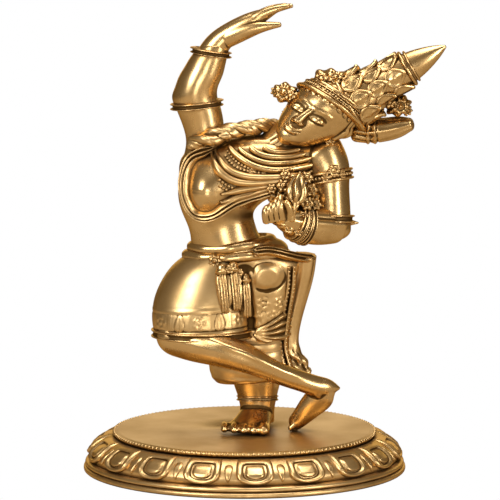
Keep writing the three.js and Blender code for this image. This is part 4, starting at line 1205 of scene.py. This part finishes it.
def makeGirdle():
    pieces = []
    for name, middle, reach, size, depth, level in girdle["rolls"]:
        line, normals = oval(260, *reach, 0, middle)
        line[:, 2] = level(line[:, 0])
        run = np.concatenate([[0], np.cumsum(np.linalg.norm(np.diff(line, axis=0), axis=1))])
        twist = 1 + depth * np.cos(run * 2 * np.pi / girdle["twist"])
        pieces.append(castStrip(name, line, normals, softSection * (size * 1.9, size * 0.95), True,
                                rise=twist))
    pieces.append(rosette("girdleFlower", (-14.8, -15.6, 87.6), (-0.1, -1, 0), 3.6, 7, 0.5))
    pieces.append(rosette("girdleFlower", (6.4, -15.4, 91.6), (0.1, -1, 0.1), 2.6, 6, 0.5))
    edge = lineThrough(girdle["fold"], 70)
    normals = unit(edge - np.array(girdle["hip"]))
    pieces.append(castStrip("girdleFold", edge, normals, foldedSection * (4.4, 2.4), spread=tapered(70)))
    finishPiece(together(pieces), ["girdle"])


makeGirdle()

tassels = {
    "strands": [[(-11.4, -17.6, 85, 2.4, 2.0), (-10.6, -19.6, 78, 3.1, 2.4), (-9.8, -20.6, 70, 3.0, 2.4),
                 (-9.2, -21, 63.4, 2.2, 1.8)],
                [(-5.6, -16.6, 86, 2.2, 2.0), (-5.0, -18.2, 79, 2.9, 2.3), (-4.2, -19.2, 71, 2.9, 2.3),
                 (-3.6, -19.6, 64.4, 2.2, 1.8)],
                [(0.4, -15.6, 80, 1.8, 1.8), (1.0, -17.2, 74, 2.3, 2.0), (1.4, -18, 66, 2.2, 2.0),
                 (1.6, -18.4, 60.6, 1.6, 1.4)]],
    "thread": 1.45, "flowers": [(-12.2, -18.8, 80.5, 2.3), (-7.2, -20.4, 84.2, 2.6),
                                (-2.4, -18.8, 82.4, 2.1)],
}


def makeTassels():
    parts = [limb(line, 28, 50, domes=(1.5, 1)) for line in tassels["strands"]]
    cluster = cast("girdleTasselCast", parts, 0.36, 2)
    lines = [lineThrough(line, 60)[:, :3] for line in tassels["strands"]]

    def height(p, n):
        total = np.zeros(len(p))
        for line in lines:
            off, share, away = nearLine(p, line, 6)
            near = step(off, 4.2, 3.4)
            threads = np.cos(away[:, 0] * 2 * np.pi / tassels["thread"])
            total += near * 0.42 * threads * step(share, 0.16, 0.24)
            total += near * (0.7 * bump(share - 0.12, 0.035) - 0.4 * bump(share - 0.19, 0.02))
        return np.clip(total, -1, 1)
    flowers = rosettes("tasselFlower", tassels["flowers"], (-0.1, -1, 0.1), 6)
    finishPiece(together([carve(cluster, height), *flowers]), ["girdle_tassel"])


makeTassels()

sash = {
    "line": [(30, 3, 88, 6, 8.5), (29, 3.5, 78, 5.6, 7.8), (26.4, 4, 66, 5, 7), (23, 4, 52, 4.8, 6.6),
             (22.6, 4, 40, 5, 6.8), (25, 4, 32, 6.4, 7.2), (26.4, 4, 27, 6.8, 7.6)],
    "front": [(22.2, 83.4), (22.2, 76), (21.2, 68), (19.6, 58), (18.4, 50), (18.2, 42), (20.4, 33), (22, 28)],
    "edgePitch": 2.6,
}


def makeSash():
    tail = cast("sashTailCast", [limb(sash["line"], 48, 90, power=2.6)], 0.42, 4)

    def height(p, n):
        x, y, z = p.T
        centre = np.interp(z, [27, 32, 40, 52, 66, 78, 88], [26.4, 25, 22.6, 23, 26.4, 29, 30])
        pleats = np.cos((x - centre) * 2 * np.pi / 3.4) * step(np.abs(n[:, 1]), 0.2, 0.6)
        side = np.cos((y - 4) * 2 * np.pi / 4.2) * step(np.abs(n[:, 0]), 0.4, 0.8)
        flutes = 0.26 * pleats + 0.4 * side
        curls = 0.5 * np.cos(z * 2 * np.pi / 5.2 + x * 0.7) * step(z, 44, 34)
        return flutes * (0.55 + 0.45 * step(z, 50, 30)) + curls + 0.6 * bump(z - 29.2, 0.8)
    pieces = [carve(tail, height)]
    for shift in (0, sash["edgePitch"]):
        x, z = np.array(sash["front"]).T
        y = np.interp(z, [28, 42, 60, 84], [-4.2, -3.6, -5.2, -7.6]) - 0.3
        line = lineThrough(np.stack([x + shift, y, z], -1), 90)
        normals = unit(np.tile([-0.25, -1, 0], (90, 1)))
        pieces.append(castStrip("sashEdge", line, normals, softSection * (1.9, 2.2), spread=tapered(90)))
        pieces.append(beads("sashBeads", line + np.array([0, -1.4, 0]), 2.1, 0.8))
    finishPiece(together(pieces), ["sash_tail"], agedBrass)


makeSash()

# The head is drawn upright round its own middle, +Z to the crown and -Y the face, then put in place.
head = {
    "middle": (36.8, -3, 158.8), "spread": (1.3, 1.06, 1), "tilt": 38, "turn": 22,
    "skull": [(0, -7.2, -17.2, 3.4, 3.8), (0, -6.2, -15.4, 6.2, 6.8), (0, -4.4, -12.4, 8.6, 9.3),
              (0, -2.5, -8.6, 10.7, 11.7), (0, -1.2, -4, 12.2, 13.4), (0, -0.2, 1, 13.1, 14.6),
              (0, 0.4, 6, 13.5, 15.2), (0, 0.8, 11, 12.6, 14.4), (0, 1, 15, 9.8, 11.6),
              (0, 1, 17.4, 5.4, 6.8)],
    "nose": [(0, -13.2, 3.4, 1.7, 1.5), (0, -14.7, 0, 1.35, 1.6), (0, -15.8, -3.2, 1.6, 1.9),
             (0, -16.4, -5.4, 1.95, 2.0)],
    "ear": [(12.9, 1.6, 2.2, 1.3, 2.4), (13.3, 2.4, 0.2, 1.7, 3.4), (12.8, 1.8, -2.4, 1.6, 2.8),
            (12.0, 0.8, -4.8, 1.4, 1.8)],
    "nape": [(17, -0.5, 141, 12.4, 9.8), (22, -0.5, 148, 9.8, 8.8), (27.4, -0.8, 154.4, 9, 8.6),
             (32, -1, 160, 9, 8.6)],
    "neckRings": (134.6, 137.4, 140.2), "hairLean": 15,
    "eyes": 5.0, "eyeHeight": -0.6, "browHeight": 3.1, "mouthHeight": -10.2,
}


def turned(degrees, axis):
    return np.array(Matrix.Rotation(math.radians(degrees), 3, axis))


headFrame = np.diag(head["spread"]) @ turned(head["tilt"], "Y") @ turned(-head["turn"], "Z")


def onHead(points):
    return np.asarray(points) @ headFrame.T + np.array(head["middle"])


def toHead(obj):
    movePoints(obj, onHead(pointsOf(obj)))
    return obj


def faceRelief(p, n):
    x, y, z = p.T
    front = step(-n[:, 1], 0.05, 0.45) * step(y, -4, -8)
    ax = np.abs(x)
    dx = ax - head["eyes"]
    eye, brow, mouth = head["eyeHeight"], head["browHeight"], head["mouthHeight"]
    arch = np.clip(1 - (dx / 3.6) ** 2, 0, 1)
    onEye = step(np.abs(dx), 3.6, 2.8)
    lash = eye - 0.9 - 0.7 * arch
    total = -0.42 * bump(z - lash, 0.34) * onEye - 0.3 * bump(z - (eye + 0.7 + 1.3 * arch), 0.34) * onEye
    total += 0.25 * bump(z - lash - 0.7, 0.4) * onEye
    browLine = brow + 0.9 * np.clip(1 - ((dx + 0.2) / 4.8) ** 2, 0, 1) - 0.25
    total += 0.42 * bump(z - browLine, 0.75) * step(np.abs(dx + 0.2), 4.8, 3.4)
    smile = mouth + 0.045 * ax**2
    total -= 0.5 * bump(z - smile, 0.36) * step(ax, 4.0, 3.2)
    total += 0.3 * bump(z - smile - 0.95 + 0.3 * bump(x, 0.8), 0.6) * step(ax, 3.8, 2.6)
    total += 0.36 * bump(z - smile + 1.05, 0.75) * step(ax, 3.2, 2.0)
    total += 0.3 * bump(np.hypot(x, z - 3.6), 0.8)
    total = total * front
    # hair drawn back from the forehead, in strands
    lean = math.radians(head["hairLean"])
    rise = z * math.cos(lean) + y * math.sin(lean)
    hair = step(rise - 4.2 + 1.1 * np.maximum(y + 4, 0), 0, 0.9)
    strands = 0.34 * np.cos(np.arctan2(x, -y) * 24 + rise * 0.6)
    return total + hair * (strands + 0.35)


def makeHead():
    # skull, chin, nose and lips, then the eyes, nostrils and ears of both sides
    parts = [limb(head["skull"], 72, 70, level=True, domes=(1.6, 1.6)),
             egg((0, -10.2, -14.6), (3.6, 3.0, 2.8)),
             limb(head["nose"], 24, 30, domes=(1, 1.2), level=True),
             egg((0, -13.0, head["mouthHeight"]), (3.7, 1.7, 2.0))]
    for side in (-1, 1):
        parts.append(egg((side * head["eyes"], -12.3, head["eyeHeight"] - 0.1), (3.1, 2.2, 1.9)))
        parts.append(egg((side * 1.7, -15.2, -6.0), (1.25, 1.5, 1.1)))
        parts.append(limb([(side * x, *rest) for x, *rest in head["ear"]], 24, 40, domes=(1.2, 1.2),
                          level=True))
    face = carve(cast("headCast", parts, 0.34, 4), faceRelief)
    points = pointsOf(face)
    softer = points * 0.6 + neighbourMean(face)(points) * 0.4
    movePoints(face, np.where(points[:, 1:2] < -4, softer, points))
    nape = cast("neckCast", [limb(head["nape"], 56, 40)], 0.45, 4)

    def rings(p, n):
        up = p[:, 2] - p[:, 0] * 0.55
        return -0.45 * sum(bump(up - level, 0.45) for level in head["neckRings"])
    carve(nape, rings)
    pieces = [toHead(face), nape]
    for side in (-1, 1):
        drop = onHead([(side * 12.0, 0.2, -7.0)])[0]
        facing = headFrame @ np.array([side * 0.75, -0.7, 0])
        pieces.append(rosette("earring", drop, facing, 3.0, 8, 0.5))
    finishPiece(together(pieces), ["head"])


makeHead()

# The crown sits tipped back, higher over the forehead than at the nape.
crown = {
    "bowl": ((0, 1, 3.4), (15.4, 17.2, 16.6)), "brow": 6.4, "ribs": 14, "scale": 5.2, "scaleStart": 12.4,
    "tip": 15,
    # name, height, width, thickness, bead radius, cross-section
    "bands": [("crownBandCast", 6.6, 2.5, 2.0, 0, softSection),
              ("crownBandRow", 9.2, 2.7, 1.7, 0.24, rolledSection),
              ("crownBandRow", 11.6, 2.2, 1.6, 0, softSection)],
}


def toCrown(obj):
    movePoints(obj, pointsOf(obj) @ turned(-crown["tip"], "X").T)
    return toHead(obj)


# How far the bowl has drawn in at a height, as a share of its widest hoop.
def bowlShare(z):
    return np.sqrt(1 - ((z - crown["bowl"][0][2]) / crown["bowl"][1][2]) ** 2)


def makeCrownBowl():
    (cx, cy, cz), (a, b, c) = crown["bowl"]
    heights = np.linspace(crown["brow"] - 0.6, cz + c - 0.9, 14)
    stations = [(cx, cy, z, a * bowlShare(z), b * bowlShare(z)) for z in heights]
    bowl = cast("crownBowlCast", [limb(stations, 96, 60, level=True, domes=(0, 0.9))], 0.38, 2)

    def height(p, n):
        angle = np.arctan2(p[:, 0], -(p[:, 1] - 1))
        row = (p[:, 2] - crown["scaleStart"]) / crown["scale"]
        tier = np.floor(row)
        across = angle * crown["ribs"] / (2 * np.pi) + 0.5 * (tier % 2)
        s = (across - np.round(across)) * 2
        z = row - tier
        scales = 0.75 * step(0.95 - np.hypot(s * 0.9, z * 0.9), 0, 0.3) - 0.35 * bump(s, 0.12)
        return scales * step(p[:, 2], 12.2, 13)
    finishPiece(toCrown(carve(bowl, height)), ["crown_bowl"])


def makeCrownBand():
    pieces = []
    (_, cy, _), (a, b, _) = crown["bowl"]
    for name, z, width, thickness, bead, section in crown["bands"]:
        line, normals = oval(200, a * bowlShare(z), b * bowlShare(z), z, (0, cy))
        pieces.append(ornateBand(name, line, normals, width, thickness, True, bead, section))
    finishPiece(toCrown(together(pieces)), ["crown_band"])


makeCrownBowl()
makeCrownBand()

spire = {
    "foot": (50.5, -1, 164.4), "tip": (99.6, -1, 193.2), "flat": 0.9,
    "heights": (0, 6, 12, 17, 22, 28, 35, 42, 49, 54, 57),
    "radii": (16.2, 14.6, 12.6, 10.6, 9.9, 9.8, 8.6, 7.2, 5.0, 2.8, 1.1),
    "tiers": [(2.5, 11.5, 9), (12.5, 11.0, 8), (22.5, 11.0, 6)],  # start, height and number of leaves
    # hoops of a leaf, as share and lift
    "leafRows": [(0.25, 0.7), (0.5, 0.45), (0.68, 0.3), (0.8, 1.1), (0.92, 0.9), (1.0, 0.0)],
    "collars": [(35.4, 2.2), (37.8, 1.4), (1.6, 2.6)],  # height and width
}


def spireRadius(z):
    return np.interp(z, spire["heights"], spire["radii"])


def makeSpire():
    stations = [(0, 0, z, r * 0.93, r * 0.93) for z, r in zip(spire["heights"], spire["radii"])]
    pieces = [cast("crownSpireCast", [limb(stations, 64, 90, level=True, domes=(0, 0.8))], 0.4, 3)]
    for start, tall, count in spire["tiers"]:
        u, v = np.cos(fullTurn(40)), np.sin(fullTurn(40))
        girth = spireRadius(start + tall * 0.4)
        half = 2 * np.pi * girth / count * 0.54
        outline = np.stack([signedPower(u, 0.9) * half * (1 - 0.45 * np.clip(v, 0, 1) ** 1.5),
                            v * tall / 2 * (1 + 0.18 * np.clip(v, 0, 1) ** 6)], -1)

        def onSpire(points, lift):
            z = start + tall / 2 + points[:, 1]
            curl = 0.9 * np.clip(points[:, 1] / (tall / 2), 0, 1.2) ** 2
            r = spireRadius(start + tall * 0.35 + 0.35 * points[:, 1]) * 0.94 + lift + curl
            a = points[:, 0] / girth
            return np.stack([r * np.sin(a), -r * np.cos(a), z], -1)
        rows = [onSpire(outline * share, lift + 0.5 * bump(outline[:, 0] * share, 0.7))
                for share, lift in spire["leafRows"]]
        rows.append(onSpire(outline, -1.4))
        ends = [onSpire(np.zeros((1, 2)), lift)[0] for lift in (1.2, -1.4)]
        leaves = addObject("spireLeaves", np.concatenate([*rows, ends]), skinFaces(len(rows), len(outline)))
        pieces.append(asClosed(runTree(leaves, ringOfCopies, Count=count, Material=polishedBrass)))
    for z, size in spire["collars"]:
        radius = spireRadius(z) * 0.95
        pieces.append(castStrip("spireCollar", *oval(90, radius, radius, z),
                                softSection * (size, size * 0.7), True))
    whole = together(pieces)
    foot, tip = np.array(spire["foot"]), np.array(spire["tip"])
    axis = unit(tip - foot)
    side = np.array([0, 1, 0])
    lean = np.stack([np.cross(side, axis), side * spire["flat"], axis], 1)
    points = pointsOf(whole) * np.array([1, 1, np.linalg.norm(tip - foot) / spire["heights"][-1]])
    movePoints(whole, points @ lean.T + foot)
    finishPiece(asClosed(whole), ["crown_spire"])


makeSpire()

# node, name, middle, reach, lean, and flowers [x, y, z, radius]
trims = [
    ("crown_leaf", "crownLeafCast", (43.8, -4, 177.4), (9.6, 5, 4.8), 0.2,
     [(38, -8, 178, 3.6), (45, -9, 178.6, 4.0), (51, -8, 177, 3.0)]),
    ("ear_flower_right", "earFlowerRightCast", (20.5, -1, 170), (6.4, 4.6, 5.0), 0.3,
     [(19.2, -5.2, 170.6, 4.8), (24.6, -6.5, 168.4, 3.2), (15.4, -1.5, 171, 3.2)]),
    ("ear_flower_left", "earFlowerLeftCast", (76.6, 1, 163.4), (6.6, 4.6, 5.0), -0.3,
     [(77.6, -3.6, 163.6, 4.8), (72, -5, 166, 3.4), (81.4, -0.6, 161, 3.0)]),
]


def makeTrims():
    for node, name, middle, radii, lean, flowers in trims:
        lean = np.array(Matrix.Rotation(lean, 3, "Y"))
        body = cast(name, [egg(middle, radii, lean)], 0.36, 2)

        def height(p, n):
            q = (p - np.array(middle)) @ lean
            a, r = np.arctan2(q[:, 2] * 1.5, q[:, 0]), np.hypot(q[:, 0], q[:, 2])
            return 0.6 * np.cos(7 * a) * step(r, 1.5, 4) - 0.4 * bump(r - 3.4, 0.5)
        pieces = [carve(body, height)]
        for *place, size in flowers:
            facing = unit(np.array(place) - np.array(middle)) * 0.7 + np.array([0, -1, 0.1])
            pieces.append(rosette("trimFlower", place, facing, size, 7, 0.55))
        finishPiece(together(pieces), [node])


makeTrims()

knot = {"line": [(56, 5, 151, 6, 7), (64, 4.5, 150.6, 6.2, 7.4), (72, 4, 151.4, 5.8, 6.4),
                 (78, 3.5, 152.8, 5, 5.4),
                 (82.4, 3, 153.8, 3.4, 3.8)], "strands": 12, "ties": (0.22, 0.34)}


def makeHairKnot():
    bun = cast("hairKnotCast", [limb(knot["line"], 56, 60, domes=(3, 2.2))], 0.4, 3)
    line = lineThrough(knot["line"], 80)[:, :3]

    def height(p, n):
        _, share, away = nearLine(p, line)
        a = np.arctan2(away[:, 2], -away[:, 1])
        strands = 0.26 * np.cos(knot["strands"] * a + 5 * share) * step(share, 0.95, 0.75)
        ties = sum(0.7 * bump(share - s, 0.022) - 0.4 * bump(share - s - 0.045, 0.015) for s in knot["ties"])
        return strands * step(share, 0.42, 0.3) + ties + 0.14 * np.cos(knot["strands"] * a)
    finishPiece(carve(bun, height), ["hair_knot"])


makeHairKnot()


# Studio: a pale floor, a big soft box at the front left, a weaker one at the right, a low one in front,
# one overhead and a wide one far behind.
studio = {
    "view": 250.0, "elevation": 8.5, "distance": 2.6, "aim": (-6.8, 0.0, 111.0),
    "middle": (0, 0, 0.11),
    "floor": "#b4a690", "air": "#d2c0a4", "airStrength": 0.31,
}
# name, place, aim, size and power, in metres and watts
softBoxes = [
    ("keyLeft", (-0.62, -0.72, 0.62), studio["middle"], (0.42, 0.62), 7.8),
    ("fillRight", (0.72, -0.62, 0.3), studio["middle"], (0.16, 0.5), 3.6),
    ("overhead", (0.05, 0.05, 0.95), studio["middle"], (0.7, 0.5), 7),
    ("behind", (0.1, 1.5, 0.42), (0, 0, 0.04), (1.9, 0.5), 4),
    ("frontLow", (0.1, -1.1, 0.16), studio["middle"], (0.3, 0.3), 2.0),
]


# What the camera sees directly, and what everything else is lit by, as the one shader of a tree.
def bySight(tree, output, seen, otherwise):
    tree.nodes.clear()
    shaders = [addNode(tree, kind, inputs).outputs[0] for kind, inputs in (otherwise, seen)]
    ray = addNode(tree, "ShaderNodeLightPath").outputs["Is Camera Ray"]
    mixed = addNode(tree, "ShaderNodeMixShader", {0: ray, 1: shaders[0], 2: shaders[1]})
    addNode(tree, output, {0: mixed.outputs[0]})


def makeFloor():
    verts, faces = lathe([(0.01, -0.1), (1500, -0.1), (1500, -2), (0.01, -2)], 96)
    floor = asClosed(addObject("floor", verts * 0.001, faces))
    material = bpy.data.materials.new("paleFloor")
    material.use_nodes = True
    bySight(material.node_tree, "ShaderNodeOutputMaterial", ("ShaderNodeEmission", {"Strength": 1.0}),
            ("ShaderNodeBsdfDiffuse", {"Color": colour(studio["floor"])}))
    floor.data.materials.append(material)


def softBox(name, place, aim, size, power):
    light = bpy.data.lights.new(name, "AREA")
    light.shape, light.size, light.size_y = "RECTANGLE", *size
    light.energy = power
    lamp = bpy.data.objects.new(name, light)
    lamp.location, lamp.visible_camera = place, False
    lamp.rotation_euler = (Vector(aim) - Vector(place)).to_track_quat("-Z", "Y").to_euler()
    bpy.context.collection.objects.link(lamp)


def makeStudio():
    makeFloor()
    for box in softBoxes:
        softBox(*box)
    world = bpy.data.worlds.new("studio")
    bpy.context.scene.world = world
    world.use_nodes = True
    white = {"Color": (1, 1, 1, 1), "Strength": 1.0}
    air = {"Color": colour(studio["air"]), "Strength": studio["airStrength"]}
    bySight(world.node_tree, "ShaderNodeOutputWorld", ("ShaderNodeBackground", white),
            ("ShaderNodeBackground", air))

    aim = Vector(studio["aim"]) * 0.001
    tilt = math.radians(studio["elevation"])
    camera = bpy.data.cameras.new("camera")
    camera.sensor_width = 36
    camera.lens = 36 * studio["distance"] / (studio["view"] * 0.001)
    eye = bpy.data.objects.new("camera", camera)
    eye.location = aim + studio["distance"] * Vector((0, -math.cos(tilt), math.sin(tilt)))
    eye.rotation_euler = (math.pi / 2 - tilt, 0, 0)
    camera.clip_end = 20
    bpy.context.collection.objects.link(eye)
    bpy.context.scene.camera = eye
    bpy.context.scene.view_settings.view_transform = "Standard"
    print("studio ready")


makeStudio()
